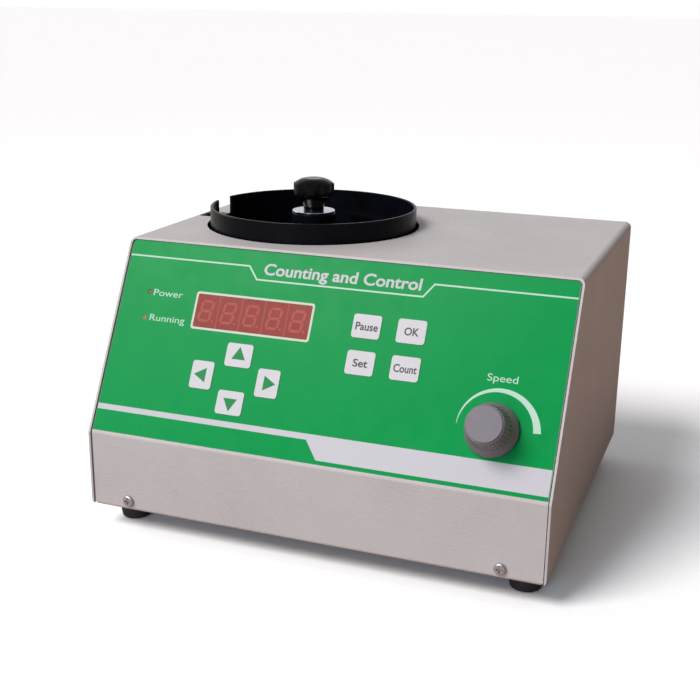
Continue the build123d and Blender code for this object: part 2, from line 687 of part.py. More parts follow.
def along_spring(angle, v=0.0, n=0.0):
    """Plane along one leaf spring: x away from the bowl's axis, y up the leaf and n across it."""
    out = Vector(cos(angle * pi / 180), sin(angle * pi / 180), 0)
    normal = Vector(out.Y, -out.X, 0) * cos(SPRING_LEAN) + Vector(0, 0, sin(SPRING_LEAN))
    middle = about_bowl(SPRING_MID).origin + out * SPRING_R
    return Plane(origin=middle + normal.cross(out) * v + normal * n, x_dir=out, z_dir=normal)


isolator_edge = ISOLATOR_PCR + ISOLATOR_R
with BuildPart() as isolators:
    with BuildSketch(bowl_section()):
        with BuildLine():
            Polyline(
                (ISOLATOR_PCR, BASE_TOP), (isolator_edge, BASE_TOP), (isolator_edge, BASE_TOP + 3.0)
            )
            ThreePointArc(
                (isolator_edge, BASE_TOP + 3.0),
                (isolator_edge - 2.5, BASE_TOP + ISOLATOR_H / 2),
                (isolator_edge, DRIVE_BASE_H - 3.0),
            )
            Polyline(
                (isolator_edge, DRIVE_BASE_H - 3.0), (isolator_edge, DRIVE_BASE_H),
                (ISOLATOR_PCR, DRIVE_BASE_H), (ISOLATOR_PCR, BASE_TOP),
            )
        make_face()
    revolve(axis=Axis(about_bowl(0).origin + Vector(ISOLATOR_PCR, 0, 0), (0, 0, 1)))
    with BuildSketch(about_bowl(BASE_TOP)):
        with Locations((ISOLATOR_PCR, 0)):
            Circle(M5_R + FIT)
    extrude(amount=9.0, mode=Mode.SUBTRACT)
    rubber = isolators.part
    for angle in ISOLATOR_ANGLES:
        add(rubber.rotate(BOWL_AXIS, angle))
    with BuildSketch(about_bowl(BASE_TOP - 1)):
        with Locations((ISOLATOR_PCR, 0)):
            Circle(ISOLATOR_R + 1.0)
    extrude(amount=ISOLATOR_H + 2, mode=Mode.SUBTRACT)
isolators.part.label = "isolators"
export_step(isolators.part, "parts/isolators.step")

isolator_bolt_planes = []
for angle in ISOLATOR_ANGLES:
    axis_plane = about_bowl(SHEET, angle)
    isolator_spot = axis_plane.origin + axis_plane.x_dir * ISOLATOR_PCR
    isolator_bolt_planes.append(Plane(origin=isolator_spot, x_dir=(1, 0, 0), z_dir=(0, 0, -1)))
isolator_bolts = pan_screws(isolator_bolt_planes, M5_R, 10.0, 4.7, 2.8)
isolator_bolts.part.label = "isolator_bolts"
export_step(isolator_bolts.part, "parts/isolator_bolts.step")

with BuildPart() as drive_base:
    with BuildSketch(about_bowl(DRIVE_BASE_H)):
        Circle(DRIVE_R)
    extrude(amount=DRIVE_BASE_T)
    chamfer(drive_base.edges().group_by(Axis.Z)[-1], 1.5)
    with BuildSketch(*[along_spring(a, -sum(LUG_V) / 2, -SPRING_T / 2) for a in SPRING_ANGLES]):
        Rectangle(SPRING_W, LUG_V[1] - LUG_V[0])
    extrude(amount=-LUG_T)
    with BuildSketch(*[along_spring(a, -CLAMP_V, 0) for a in SPRING_ANGLES]):
        with GridLocations(SPRING_SCREWS, 0, 2, 1):
            Circle(M5_R + FIT)
    extrude(amount=-LUG_T + 1, mode=Mode.SUBTRACT)
drive_base.part.label = "drive_base"
export_step(drive_base.part, "parts/drive_base.step")

CORE_W = 50.0
CORE_D = 22.0
CORE_H = 45.0
CORE_LEG = 8.0
CORE_YOKE = 12.0
CORE_WINDOW = 9.0
core_h = DRIVE_BASE_H + DRIVE_BASE_T
with BuildPart() as magnet_core:
    with BuildSketch(facing_front(BOWL_X, BOWL_Y - CORE_D / 2, core_h + CORE_H / 2)):
        Rectangle(CORE_W, CORE_H)
        with Locations((0, CORE_YOKE)):
            with GridLocations(CORE_W - 2 * CORE_LEG - CORE_WINDOW, 0, 2, 1):
                Rectangle(CORE_WINDOW, CORE_H, mode=Mode.SUBTRACT)
    extrude(amount=-CORE_D)
magnet_core.part.label = "magnet_core"
export_step(magnet_core.part, "parts/magnet_core.step")

CORE_CENTRE = CORE_W - 2 * (CORE_LEG + CORE_WINDOW)
with BuildPart() as magnet_coil:
    with BuildSketch(about_bowl(core_h + CORE_YOKE + 1)):
        RectangleRounded(CORE_CENTRE + 2 * CORE_WINDOW - 0.8, CORE_D + 16.0, 6.0)
        Rectangle(CORE_CENTRE + 2 * FIT, CORE_D + 2 * FIT, mode=Mode.SUBTRACT)
    extrude(amount=CORE_H - CORE_YOKE - 3)
magnet_coil.part.label = "magnet_coil"
export_step(magnet_coil.part, "parts/magnet_coil.step")

spring_holes = [along_spring(a, side * CLAMP_V) for a in SPRING_ANGLES for side in (-1, 1)]
with BuildPart() as leaf_springs:
    with BuildSketch(*[along_spring(a, 0, -SPRING_T / 2) for a in SPRING_ANGLES]):
        RectangleRounded(SPRING_W, SPRING_L, 2.0)
    extrude(amount=SPRING_T)
    with BuildSketch(*spring_holes):
        with GridLocations(SPRING_SCREWS, 0, 2, 1):
            Circle(M5_R + FIT)
    extrude(amount=SPRING_T, both=True, mode=Mode.SUBTRACT)
leaf_springs.part.label = "leaf_springs"
export_step(leaf_springs.part, "parts/leaf_springs.step")


def spring_clamps(side):
    """Plates that hold one end of the leaves against their lugs."""
    with BuildPart() as made:
        planes = [along_spring(a, side * CLAMP_V, -side * SPRING_T / 2) for a in SPRING_ANGLES]
        with BuildSketch(*planes):
            RectangleRounded(SPRING_W, CLAMP_H, 1.5)
            with GridLocations(SPRING_SCREWS, 0, 2, 1):
                Circle(M5_R + FIT, mode=Mode.SUBTRACT)
        extrude(amount=-side * CLAMP_T)
    return made


def spring_bolts(side):
    """Hexagon-head screws through a clamp and a leaf into the lug."""
    with BuildPart() as made:
        out_of_leaf = -side * (SPRING_T / 2 + CLAMP_T)
        planes = [along_spring(a, side * CLAMP_V, out_of_leaf) for a in SPRING_ANGLES]
        with BuildSketch(*planes):
            with GridLocations(SPRING_SCREWS, 0, 2, 1):
                RegularPolygon(4.0, 6, major_radius=False)
        extrude(amount=-side * 3.5)
        with BuildSketch(*planes):
            with GridLocations(SPRING_SCREWS, 0, 2, 1):
                Circle(M5_R)
        extrude(amount=side * 14.0)
    return made


spring_clamps_lower = spring_clamps(-1)
spring_clamps_lower.part.label = "spring_clamps_lower"
export_step(spring_clamps_lower.part, "parts/spring_clamps_lower.step")

spring_clamps_upper = spring_clamps(1)
spring_clamps_upper.part.label = "spring_clamps_upper"
export_step(spring_clamps_upper.part, "parts/spring_clamps_upper.step")

spring_bolts_lower = spring_bolts(-1)
spring_bolts_lower.part.label = "spring_bolts_lower"
export_step(spring_bolts_lower.part, "parts/spring_bolts_lower.step")

spring_bolts_upper = spring_bolts(1)
spring_bolts_upper.part.label = "spring_bolts_upper"
export_step(spring_bolts_upper.part, "parts/spring_bolts_upper.step")

SEAT_R = 34.0
TOP_NECK_R = 20.0
with BuildPart() as top_block:
    with BuildSketch(bowl_section()):
        with BuildLine():
            Polyline(
                (0, TOP_BLOCK_H), (DRIVE_R, TOP_BLOCK_H), (DRIVE_R, TOP_BLOCK_H + 8.0),
                (DRIVE_R - 6.0, TOP_BLOCK_H + 12.0), (TOP_NECK_R + 4.0, TOP_BLOCK_H + 12.0),
                (TOP_NECK_R, TOP_BLOCK_H + 16.0), (TOP_NECK_R, BOWL_BASE - 8.0),
                (SEAT_R, BOWL_BASE - 5.0), (SEAT_R, BOWL_BASE), (0, BOWL_BASE), (0, TOP_BLOCK_H),
            )
        make_face()
    revolve(axis=BOWL_AXIS)
    with BuildSketch(*[along_spring(a, sum(LUG_V) / 2, SPRING_T / 2) for a in SPRING_ANGLES]):
        Rectangle(SPRING_W, LUG_V[1] - LUG_V[0])
    extrude(amount=LUG_T)
    with BuildSketch(*[along_spring(a, CLAMP_V, 0) for a in SPRING_ANGLES]):
        with GridLocations(SPRING_SCREWS, 0, 2, 1):
            Circle(M5_R + FIT)
    extrude(amount=LUG_T - 1, mode=Mode.SUBTRACT)
    with BuildSketch(about_bowl(BOWL_BASE)):
        Circle(STUD_R + FIT)
    extrude(amount=-24.0, mode=Mode.SUBTRACT)
top_block.part.label = "top_block"
export_step(top_block.part, "parts/top_block.step")

AIR_GAP = 2.0
ARMATURE_T = 9.0
armature_h = core_h + CORE_H + AIR_GAP
with BuildPart() as armature:
    with BuildSketch(about_bowl(armature_h)):
        RectangleRounded(CORE_W, CORE_D, 1.0)
    extrude(amount=ARMATURE_T)
    with BuildSketch(about_bowl(armature_h + ARMATURE_T)):
        Circle(9.0)
    extrude(amount=TOP_BLOCK_H - armature_h - ARMATURE_T)
armature.part.label = "armature"
export_step(armature.part, "parts/armature.step")

with BuildPart() as bowl_stud:
    with BuildSketch(about_bowl(BOWL_BASE - 23.5)):
        Circle(STUD_R)
    extrude(amount=STUD_TOP - BOWL_BASE + 23.5)
    chamfer(bowl_stud.edges().group_by(Axis.Z)[-1], 0.8)
bowl_stud.part.label = "bowl_stud"
export_step(bowl_stud.part, "parts/bowl_stud.step")

# ---------------------------------------------------------------- bowl and its knob

BOWL_UNDER = BOWL_BASE + 3.5
FLOOR_OUT = 160.5
FLOOR_IN = 164.5
TRACK_W = 8.6
TRACK_T = 2.0
TRACK_TURN = 450.0
TRACK_RISE = TRACK_END - FLOOR_OUT
LIP_R = 82.5
inner_r = BOWL_R - BOWL_WALL


def bowl_ring_sector(r_from, r_to, turn_from, turn_to):
    """Corners of a four-sided patch between two radii and two turns about the bowl's axis."""
    ends = [(r_from, turn_from), (r_to, turn_from), (r_to, turn_to), (r_from, turn_to)]
    return [(r * cos(turn * pi / 180), r * sin(turn * pi / 180)) for r, turn in ends]


with BuildPart() as bowl:
    with BuildSketch(bowl_section()):
        with BuildLine():
            Polyline(
                (STUD_R + 0.1, BOWL_BASE), (SEAT_R + 2.0, BOWL_BASE), (SEAT_R + 6.0, BOWL_UNDER),
                (BOWL_R - 4.0, BOWL_UNDER), (BOWL_R, BOWL_UNDER + 4.0), (BOWL_R, BOWL_RIM - 0.5),
                (BOWL_R - 0.5, BOWL_RIM), (inner_r + 0.5, BOWL_RIM), (inner_r, BOWL_RIM - 0.5),
                (inner_r, FLOOR_OUT), (HUB_R + 1.5, FLOOR_IN), (HUB_R, FLOOR_IN + 1.5),
                (HUB_R, HUB_TOP - 0.8), (HUB_R - 0.8, HUB_TOP), (STUD_R + 0.1, HUB_TOP),
                (STUD_R + 0.1, BOWL_BASE),
            )
        make_face()
    revolve(axis=BOWL_AXIS)
    # spiral track, climbing to the notch
    track_start = NOTCH_TO - TRACK_TURN
    track_r = inner_r - TRACK_W / 2 + 0.5
    with BuildLine(about_bowl(FLOOR_OUT - TRACK_T / 2, track_start)) as track_path:
        Helix(pitch=TRACK_RISE * 360 / TRACK_TURN, height=TRACK_RISE, radius=track_r)
    with BuildSketch(bowl_section(track_start)):
        with Locations((track_r, FLOOR_OUT - TRACK_T / 2)):
            Rectangle(TRACK_W, TRACK_T)
    sweep(path=track_path.wires()[0], is_frenet=True)
    # notch through the wall above the track's end, and the lip that carries seed over the slot
    with BuildSketch(about_bowl(TRACK_END)):
        Polygon(*bowl_ring_sector(inner_r - 3.0, BOWL_R + 4.0, NOTCH_FROM, NOTCH_TO), align=None)
    extrude(amount=BOWL_RIM, mode=Mode.SUBTRACT)
    with BuildSketch(about_bowl(TRACK_END)):
        lip_corners = bowl_ring_sector(inner_r + 0.8, LIP_R, NOTCH_FROM + 2.0, NOTCH_TO - 5.5)
        Polygon(*lip_corners, align=None)
    extrude(amount=-1.5)
bowl.part.label = "bowl"
export_step(bowl.part, "parts/bowl.step")

with BuildPart() as clamp_washer:
    with BuildSketch(about_bowl(HUB_TOP)):
        Circle(HUB_R - 0.3)
        Circle(STUD_R + 0.1, mode=Mode.SUBTRACT)
    extrude(amount=WASHER_T)
    chamfer(clamp_washer.edges().group_by(Axis.Z)[-1].sort_by(SortBy.LENGTH)[-1], 0.3)
clamp_washer.part.label = "clamp_washer"
export_step(clamp_washer.part, "parts/clamp_washer.step")

KNOB_LOBES = 7
KNOB_R = 15.3
KNOB_NECK_R = 11.4
KNOB_FOOT_R = 7.6
KNOB_UNDER = 199.6
KNOB_CROWN = 212.5
knob_foot = HUB_TOP + WASHER_T
with BuildPart() as bowl_knob:
    with BuildSketch(about_bowl(KNOB_UNDER)):
        Circle(KNOB_R)
        with PolarLocations(KNOB_R + 2.6, KNOB_LOBES):
            Circle(4.2, mode=Mode.SUBTRACT)
        fillet(vertices(), 1.6)
    extrude(amount=KNOB_CROWN - KNOB_UNDER)
    with BuildSketch(bowl_section()):
        with BuildLine():
            Polyline((0, KNOB_UNDER), (KNOB_R - 2.2, KNOB_UNDER))
            ThreePointArc(
                (KNOB_R - 2.2, KNOB_UNDER), (KNOB_R - 0.6, KNOB_UNDER + 0.6),
                (KNOB_R + 0.1, KNOB_UNDER + 2.2),
            )
            Line((KNOB_R + 0.1, KNOB_UNDER + 2.2), (KNOB_R + 0.1, KNOB_CROWN - 4.2))
            ThreePointArc(
                (KNOB_R + 0.1, KNOB_CROWN - 4.2), (KNOB_R * 0.75, KNOB_CROWN - 1.5),
                (0, KNOB_CROWN),
            )
            Line((0, KNOB_CROWN), (0, KNOB_UNDER))
        make_face()
    revolve(axis=BOWL_AXIS, mode=Mode.INTERSECT)
    with BuildSketch(bowl_section()):
        with BuildLine():
            Polyline(
                (STUD_R + 0.1, knob_foot), (KNOB_FOOT_R, knob_foot), (KNOB_FOOT_R, knob_foot + 3.0),
                (KNOB_NECK_R, KNOB_UNDER), (KNOB_NECK_R, KNOB_UNDER + 1.0),
                (STUD_R + 0.1, KNOB_UNDER + 1.0), (STUD_R + 0.1, knob_foot),
            )
        make_face()
    revolve(axis=BOWL_AXIS)
    with BuildSketch(about_bowl(knob_foot)):
        Circle(STUD_R + 0.1)
    extrude(amount=STUD_TOP + 0.5 - knob_foot, mode=Mode.SUBTRACT)
bowl_knob.part.label = "bowl_knob"
export_step(bowl_knob.part, "parts/bowl_knob.step")

# ---------------------------------------------------------------- seed chute and outlet

CHUTE_X = (-156.2, -139.8)
CHUTE_TOP = CASE_H - SHEET - 0.2
CHUTE_BEND_H = 92.0
chute_mouth = -CASE_W / 2 + SHEET + 0.2
chute_half = CHUTE_W / 2 - 0.3
SLANT = CHUTE_WALL * 2**0.5  # a wall's thickness measured upright on the 45-degree slope
lower_run = CHUTE_X[1] - chute_mouth
upper_h = SPOUT_H + 9.0
upper_start_h = upper_h + CHUTE_X[0] - chute_mouth


def slanted(x_right, x_left, low, high):
    """Corners of a strip that falls at 45 degrees to the left, from x_right to x_left."""
    drop = x_right - x_left
    return [(x_right, low), (x_left, low - drop), (x_left, high - drop), (x_right, high)]


with BuildPart() as seed_chute:
    with BuildSketch(facing_front(0, SPOUT_Y - chute_half, 0)):
        with BuildLine():
            Polyline(
                (CHUTE_X[0], CHUTE_TOP), (CHUTE_X[1], CHUTE_TOP), (CHUTE_X[1], CHUTE_BEND_H),
                (chute_mouth, CHUTE_BEND_H - lower_run), (chute_mouth, upper_h),
                (CHUTE_X[0], upper_start_h), close=True,
            )
        make_face()
    extrude(amount=-2 * chute_half)
    with BuildSketch(facing_front(0, SPOUT_Y - chute_half + CHUTE_WALL, 0)):
        with BuildLine():
            Polyline(
                (CHUTE_X[0] + CHUTE_WALL, CHUTE_TOP + 1), (CHUTE_X[1] - CHUTE_WALL, CHUTE_TOP + 1),
                (CHUTE_X[1] - CHUTE_WALL, CHUTE_BEND_H - CHUTE_WALL + SLANT),
                (chute_mouth - 1, CHUTE_BEND_H - lower_run + SLANT - 1),
                (chute_mouth - 1, upper_h - SLANT - 1),
                (CHUTE_X[0] + CHUTE_WALL, upper_start_h + CHUTE_WALL - SLANT), close=True,
            )
        make_face()
    extrude(amount=-2 * (chute_half - CHUTE_WALL), mode=Mode.SUBTRACT)
    # windows for the light beam
    with BuildSketch(facing_front(sum(CHUTE_X) / 2, SPOUT_Y - CHUTE_W, 125.0)):
        Rectangle(10.0, 3.0)
    extrude(amount=-2 * CHUTE_W, mode=Mode.SUBTRACT)
seed_chute.part.label = "seed_chute"
export_step(seed_chute.part, "parts/seed_chute.step")

with BuildPart() as seed_sensors:
    for side in (-1, 1):
        with BuildSketch(level(116.0, sum(CHUTE_X) / 2, SPOUT_Y + side * (CHUTE_W / 2 + 5.2))):
            RectangleRounded(14.0, 10.0, 1.0)
        extrude(amount=18.0)
seed_sensors.part.label = "seed_sensors"
export_step(seed_sensors.part, "parts/seed_sensors.step")

spout_end = -CASE_W / 2 - SPOUT_REACH
spout_low = SPOUT_H - 10.5
spout_high = SPOUT_H + 11.0
channel_corners = slanted(
    -CASE_W / 2 + 2, spout_end - 2, spout_low + SLANT + 2, spout_high - SLANT + 2
)
with BuildPart() as outlet_spout:
    with BuildSketch(facing_right(-CASE_W / 2, SPOUT_Y, SPOUT_H)):
        RectangleRounded(44.0, 40.0, 4.0)
        with GridLocations(*SPOUT_HOLES, 2, 2):
            Circle(M3_R + FIT, mode=Mode.SUBTRACT)
    extrude(amount=-SPOUT_FLANGE)
    with BuildSketch(facing_front(0, SPOUT_Y - chute_half, 0)):
        Polygon(*slanted(-CASE_W / 2, spout_end, spout_low, spout_high), align=None)
    extrude(amount=-2 * chute_half)
    with BuildSketch(facing_front(0, SPOUT_Y - chute_half + CHUTE_WALL, 0)):
        Polygon(*channel_corners, align=None)
    extrude(amount=-2 * (chute_half - CHUTE_WALL), mode=Mode.SUBTRACT)
outlet_spout.part.label = "outlet_spout"
export_step(outlet_spout.part, "parts/outlet_spout.step")

spout_screw_planes = []
for dy in (-SPOUT_HOLES[0] / 2, SPOUT_HOLES[0] / 2):
    for dh in (-SPOUT_HOLES[1] / 2, SPOUT_HOLES[1] / 2):
        spot = level(SPOUT_H + dh, -CASE_W / 2 - SPOUT_FLANGE, SPOUT_Y + dy).origin
        spout_screw_planes.append(Plane(origin=spot, x_dir=(0, -1, 0), z_dir=(-1, 0, 0)))
spout_screws = pan_screws(spout_screw_planes, M3_R, 6.0, 2.9, 1.9)
spout_screws.part.label = "spout_screws"
export_step(spout_screws.part, "parts/spout_screws.step")

# ---------------------------------------------------------------- boards and mains parts

STANDOFF_H = 10.0
main_board_h = BASE_TOP + STANDOFF_H
with BuildPart() as main_board:
    with BuildSketch(level(main_board_h, *STANDOFF_AT)):
        RectangleRounded(STANDOFF_GRID[0] + 10, STANDOFF_GRID[1] + 10, 2.0)
        with GridLocations(*STANDOFF_GRID, 2, 2):
            Circle(M3_R + FIT, mode=Mode.SUBTRACT)
    extrude(amount=BOARD)
main_board.part.label = "main_board"
export_step(main_board.part, "parts/main_board.step")

with BuildPart() as board_standoffs:
    with BuildSketch(level(0.5, *STANDOFF_AT)):
        with GridLocations(*STANDOFF_GRID, 2, 2):
            Circle(M3_R)
    extrude(amount=main_board_h + BOARD + 1.0)
    with BuildSketch(level(BASE_TOP, *STANDOFF_AT)):
        with GridLocations(*STANDOFF_GRID, 2, 2):
            RegularPolygon(3.0, 6, major_radius=False)
    extrude(amount=STANDOFF_H)
    with BuildSketch(level(main_board_h + BOARD, *STANDOFF_AT)):
        with GridLocations(*STANDOFF_GRID, 2, 2):
            Circle(2.6)
    extrude(amount=1.6)
board_standoffs.part.label = "board_standoffs"
export_step(board_standoffs.part, "parts/board_standoffs.step")

CAPACITORS = [((-36.0, 18.0), 9.0, 30.0), ((-36.0, -6.0), 6.0, 20.0), ((-20.0, -24.0), 4.0, 12.0)]
CHIPS = [
    ((8.0, -12.0), (52.0, 14.0), 4.5),
    ((24.0, 6.0), (20.0, 7.0), 4.0),
    ((-10.0, 26.0), (16.0, 10.0), 14.0),
]
HEAT_SINK = ((20.0, 26.0), (30.0, 12.0), 26.0)
with BuildPart() as board_components:
    component_base = main_board_h + BOARD
    for spot, radius, height in CAPACITORS:
        with BuildSketch(level(component_base, STANDOFF_AT[0] + spot[0], STANDOFF_AT[1] + spot[1])):
            Circle(radius)
        extrude(amount=height)
    for spot, size, height in CHIPS:
        with BuildSketch(level(component_base, STANDOFF_AT[0] + spot[0], STANDOFF_AT[1] + spot[1])):
            Rectangle(*size)
        extrude(amount=height)
    sink_x = STANDOFF_AT[0] + HEAT_SINK[0][0]
    sink_y = STANDOFF_AT[1] + HEAT_SINK[0][1]
    with BuildSketch(level(component_base, sink_x, sink_y)):
        Rectangle(*HEAT_SINK[1])
        with Locations((0, 4.0)):
            with GridLocations(4.0, 0, 7, 1):
                Rectangle(2.4, 10.0, mode=Mode.SUBTRACT)
    extrude(amount=HEAT_SINK[2])
board_components.part.label = "board_components"
export_step(board_components.part, "parts/board_components.step")

IRON_W = 57.0
IRON_D = 28.0
IRON_H = 48.0
IRON_LEG = 9.5
with BuildPart() as transformer_core:
    with BuildSketch(level(BASE_TOP, *TRANSFORMER_AT)):
        RectangleRounded(TRANSFORMER_SCREWS + 12, 18.0, 2.0)
        with GridLocations(TRANSFORMER_SCREWS, 0, 2, 1):
            Circle(M3_R + FIT, mode=Mode.SUBTRACT)
    extrude(amount=1.2)
    iron_plane = facing_front(
        TRANSFORMER_AT[0], TRANSFORMER_AT[1] - IRON_D / 2, BASE_TOP + 1.2 + IRON_H / 2
    )
    with BuildSketch(iron_plane):
        Rectangle(IRON_W, IRON_H)
        with GridLocations(IRON_LEG * 3, 0, 2, 1):
            Rectangle(IRON_LEG, IRON_H - 2 * IRON_LEG, mode=Mode.SUBTRACT)
    extrude(amount=-IRON_D)
transformer_core.part.label = "transformer_core"
export_step(transformer_core.part, "parts/transformer_core.step")

with BuildPart() as transformer_coil:
    with BuildSketch(level(BASE_TOP + 1.2 + IRON_LEG + 0.3, *TRANSFORMER_AT)):
        RectangleRounded(IRON_LEG * 4 - 0.6, IRON_D + 18.0, 5.0)
        Rectangle(IRON_LEG * 2 + 2 * FIT, IRON_D + 2 * FIT, mode=Mode.SUBTRACT)
    extrude(amount=IRON_H - 2 * IRON_LEG - 0.6)
transformer_coil.part.label = "transformer_coil"
export_step(transformer_coil.part, "parts/transformer_coil.step")

BACK_FACE = CASE_D - INSET
BLADES = ((-7.0, -2.0), (7.0, -2.0), (0, 2.0))
inlet_plane = facing_back(INLET_X, BACK_FACE, BACK_ROW_H)
with BuildPart() as mains_inlet:
    with BuildSketch(inlet_plane):
        RectangleRounded(31.0, 24.6, 3.0)
    extrude(amount=2.8)
    fillet(mains_inlet.edges().group_by(Axis.Y)[-1], 0.8)
    with BuildSketch(inlet_plane):
        RectangleRounded(27.2, 20.0, 1.8)
    extrude(amount=-17.0)
    # socket with two cut corners, and its three blades
    with BuildSketch(inlet_plane.offset(3.0)):
        with BuildLine():
            Polyline(
                (-12.0, -8.2), (12.0, -8.2), (12.0, 3.2), (7.0, 8.2), (-7.0, 8.2), (-12.0, 3.2),
                close=True,
            )
        make_face()
    extrude(amount=-18.0, mode=Mode.SUBTRACT)
    with BuildSketch(inlet_plane.offset(-15.0)):
        with Locations(*BLADES):
            Rectangle(2.0, 4.0)
    extrude(amount=15.0)
    with BuildSketch(inlet_plane.offset(-17.0)):
        with Locations(*BLADES):
            Rectangle(0.8, 6.3)
    extrude(amount=-9.0)
mains_inlet.part.label = "mains_inlet"
export_step(mains_inlet.part, "parts/mains_inlet.step")

ROCKER_THROW = 8.0  # degrees either side of level
PIVOT_IN = 1.5  # pivot's depth behind the panel's face
AXLE_R = 1.0
rocker_plane = facing_back(ROCKER_X, BACK_FACE, BACK_ROW_H)
with BuildPart() as power_switch:
    with BuildSketch(rocker_plane):
        RectangleRounded(15.0, 21.0, 1.2)
    extrude(amount=2.0)
    fillet(power_switch.edges().group_by(Axis.Y)[-1], 0.7)
    with BuildSketch(rocker_plane):
        Rectangle(12.8, 19.2)
    extrude(amount=-14.0)
    with BuildSketch(rocker_plane.offset(3.0)):
        Rectangle(10.8, 17.4)
    extrude(amount=-11.0, mode=Mode.SUBTRACT)
    with BuildSketch(rocker_plane.offset(-14.0)):
        with GridLocations(0, 7.0, 1, 2):
            Rectangle(4.8, 0.8)
    extrude(amount=-8.0)
    # bearings of the rocker's stub axles
    with BuildSketch(facing_right(ROCKER_X - 7.5, BACK_FACE - PIVOT_IN, BACK_ROW_H)):
        Circle(AXLE_R + FIT)
    extrude(amount=15.0, mode=Mode.SUBTRACT)
power_switch.part.label = "power_switch"
export_step(power_switch.part, "parts/power_switch.step")

# the rocker stands with its lower half pressed in, which is off
pivot = Vector(*facing_right(ROCKER_X, BACK_FACE - PIVOT_IN, BACK_ROW_H).origin)
lean = ROCKER_THROW * pi / 180
rocker_side = Plane(
    origin=pivot - Vector(5.2, 0, 0), x_dir=Vector(0, sin(lean), cos(lean)), z_dir=(1, 0, 0)
)
with BuildPart() as power_rocker:
    with BuildSketch(rocker_side):
        with BuildLine():
            Polyline((-7.6, -5.6), (0, -4.6), (7.6, -5.6), (5.6, 2.0), (-5.6, 2.0), close=True)
        make_face()
    extrude(amount=10.4)
    fillet(power_rocker.edges().filter_by(Axis.X), 0.6)
    with BuildSketch(facing_right(ROCKER_X - 6.2, BACK_FACE - PIVOT_IN, BACK_ROW_H)):
        Circle(AXLE_R)
    extrude(amount=12.4)
power_rocker.part.label = "power_rocker"
export_step(power_rocker.part, "parts/power_rocker.step")

fuse_plane = facing_back(FUSE_X, BACK_FACE, BACK_ROW_H)
with BuildPart() as fuse_holder:
    with BuildSketch(fuse_plane):
        Circle(8.5)
    extrude(amount=2.5)
    fillet(fuse_holder.edges().filter_by(GeomType.CIRCLE).group_by(Axis.Y)[-1], 0.8)
    with BuildSketch(fuse_plane):
        Circle(6.0)
    extrude(amount=-30.0)
    with BuildSketch(fuse_plane.offset(3.0)):
        Circle(4.3)
    extrude(amount=-29.0, mode=Mode.SUBTRACT)
fuse_holder.part.label = "fuse_holder"
export_step(fuse_holder.part, "parts/fuse_holder.step")

with BuildPart() as fuse_cap:
    with BuildSketch(fuse_plane.offset(2.6)):
        Circle(6.2)
    extrude(amount=FUSE_REACH - 2.6)
    fillet(fuse_cap.edges().group_by(Axis.Y)[-1], 0.8)
    with BuildSketch(fuse_plane.offset(3.4)):
        with PolarLocations(6.5, 12):
            Circle(0.7)
    extrude(amount=FUSE_REACH, mode=Mode.SUBTRACT)
    with BuildSketch(fuse_plane.offset(FUSE_REACH)):
        Rectangle(8.0, 1.2)
    extrude(amount=-1.4, mode=Mode.SUBTRACT)
    with BuildSketch(fuse_plane.offset(2.6)):
        Circle(4.22)
    extrude(amount=-18.0)
fuse_cap.part.label = "fuse_cap"
export_step(fuse_cap.part, "parts/fuse_cap.step")
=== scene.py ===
"""Looks of the bench-top seed counter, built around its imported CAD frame.

Everything is in metres, unless a comment says mm; +X is right, +Y is back and +Z is up.
"""

import json
import math

import bmesh
import bpy
from mathutils import Matrix, Vector


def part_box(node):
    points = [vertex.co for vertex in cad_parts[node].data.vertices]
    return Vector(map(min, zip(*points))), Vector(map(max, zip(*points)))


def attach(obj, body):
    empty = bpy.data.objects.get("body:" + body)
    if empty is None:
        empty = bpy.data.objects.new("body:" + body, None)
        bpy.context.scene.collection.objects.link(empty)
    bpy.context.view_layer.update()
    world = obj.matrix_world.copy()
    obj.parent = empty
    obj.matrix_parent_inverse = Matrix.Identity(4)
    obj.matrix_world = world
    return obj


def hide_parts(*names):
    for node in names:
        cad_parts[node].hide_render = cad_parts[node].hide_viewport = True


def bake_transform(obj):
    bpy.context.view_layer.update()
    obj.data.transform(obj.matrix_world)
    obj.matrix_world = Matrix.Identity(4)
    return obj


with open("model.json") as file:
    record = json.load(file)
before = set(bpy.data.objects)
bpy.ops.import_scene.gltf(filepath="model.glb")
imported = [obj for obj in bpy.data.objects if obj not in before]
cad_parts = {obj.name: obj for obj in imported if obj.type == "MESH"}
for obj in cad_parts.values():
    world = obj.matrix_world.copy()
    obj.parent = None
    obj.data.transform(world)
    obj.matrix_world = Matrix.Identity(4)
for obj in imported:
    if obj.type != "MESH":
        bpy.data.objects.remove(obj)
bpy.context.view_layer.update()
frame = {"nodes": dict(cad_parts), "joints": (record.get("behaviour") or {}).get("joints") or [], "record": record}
nodes = frame["nodes"]
joints = {j["name"]: j for j in frame["joints"]}
MM = 0.001

# ---------------------------------------------------------------- panel coordinates

# x is across from the case's middle, v up the slope from the fold and n out of the sheet, all in mm
NORMAL = Vector(joints["speed_turn"]["axis"]).normalized()
ACROSS = Vector((1, 0, 0))
UP = NORMAL.cross(ACROSS)
overlay_co = [v.co for v in nodes["panel_overlay"].data.vertices]
OVERLAY_FOOT = 2.5  # v of the printed film's lower edge
OVERLAY_T = 0.3
case_x = (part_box("panel_overlay")[0].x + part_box("panel_overlay")[1].x) / 2
PANEL_ORIGIN = (
    ACROSS * case_x
    + UP * (min(UP.dot(c) for c in overlay_co) - OVERLAY_FOOT * MM)
    + NORMAL * (max(NORMAL.dot(c) for c in overlay_co) - OVERLAY_T * MM)
)


def on_panel(x, v, n=OVERLAY_T):
    return PANEL_ORIGIN + ACROSS * (x * MM) + UP * (v * MM) + NORMAL * (n * MM)


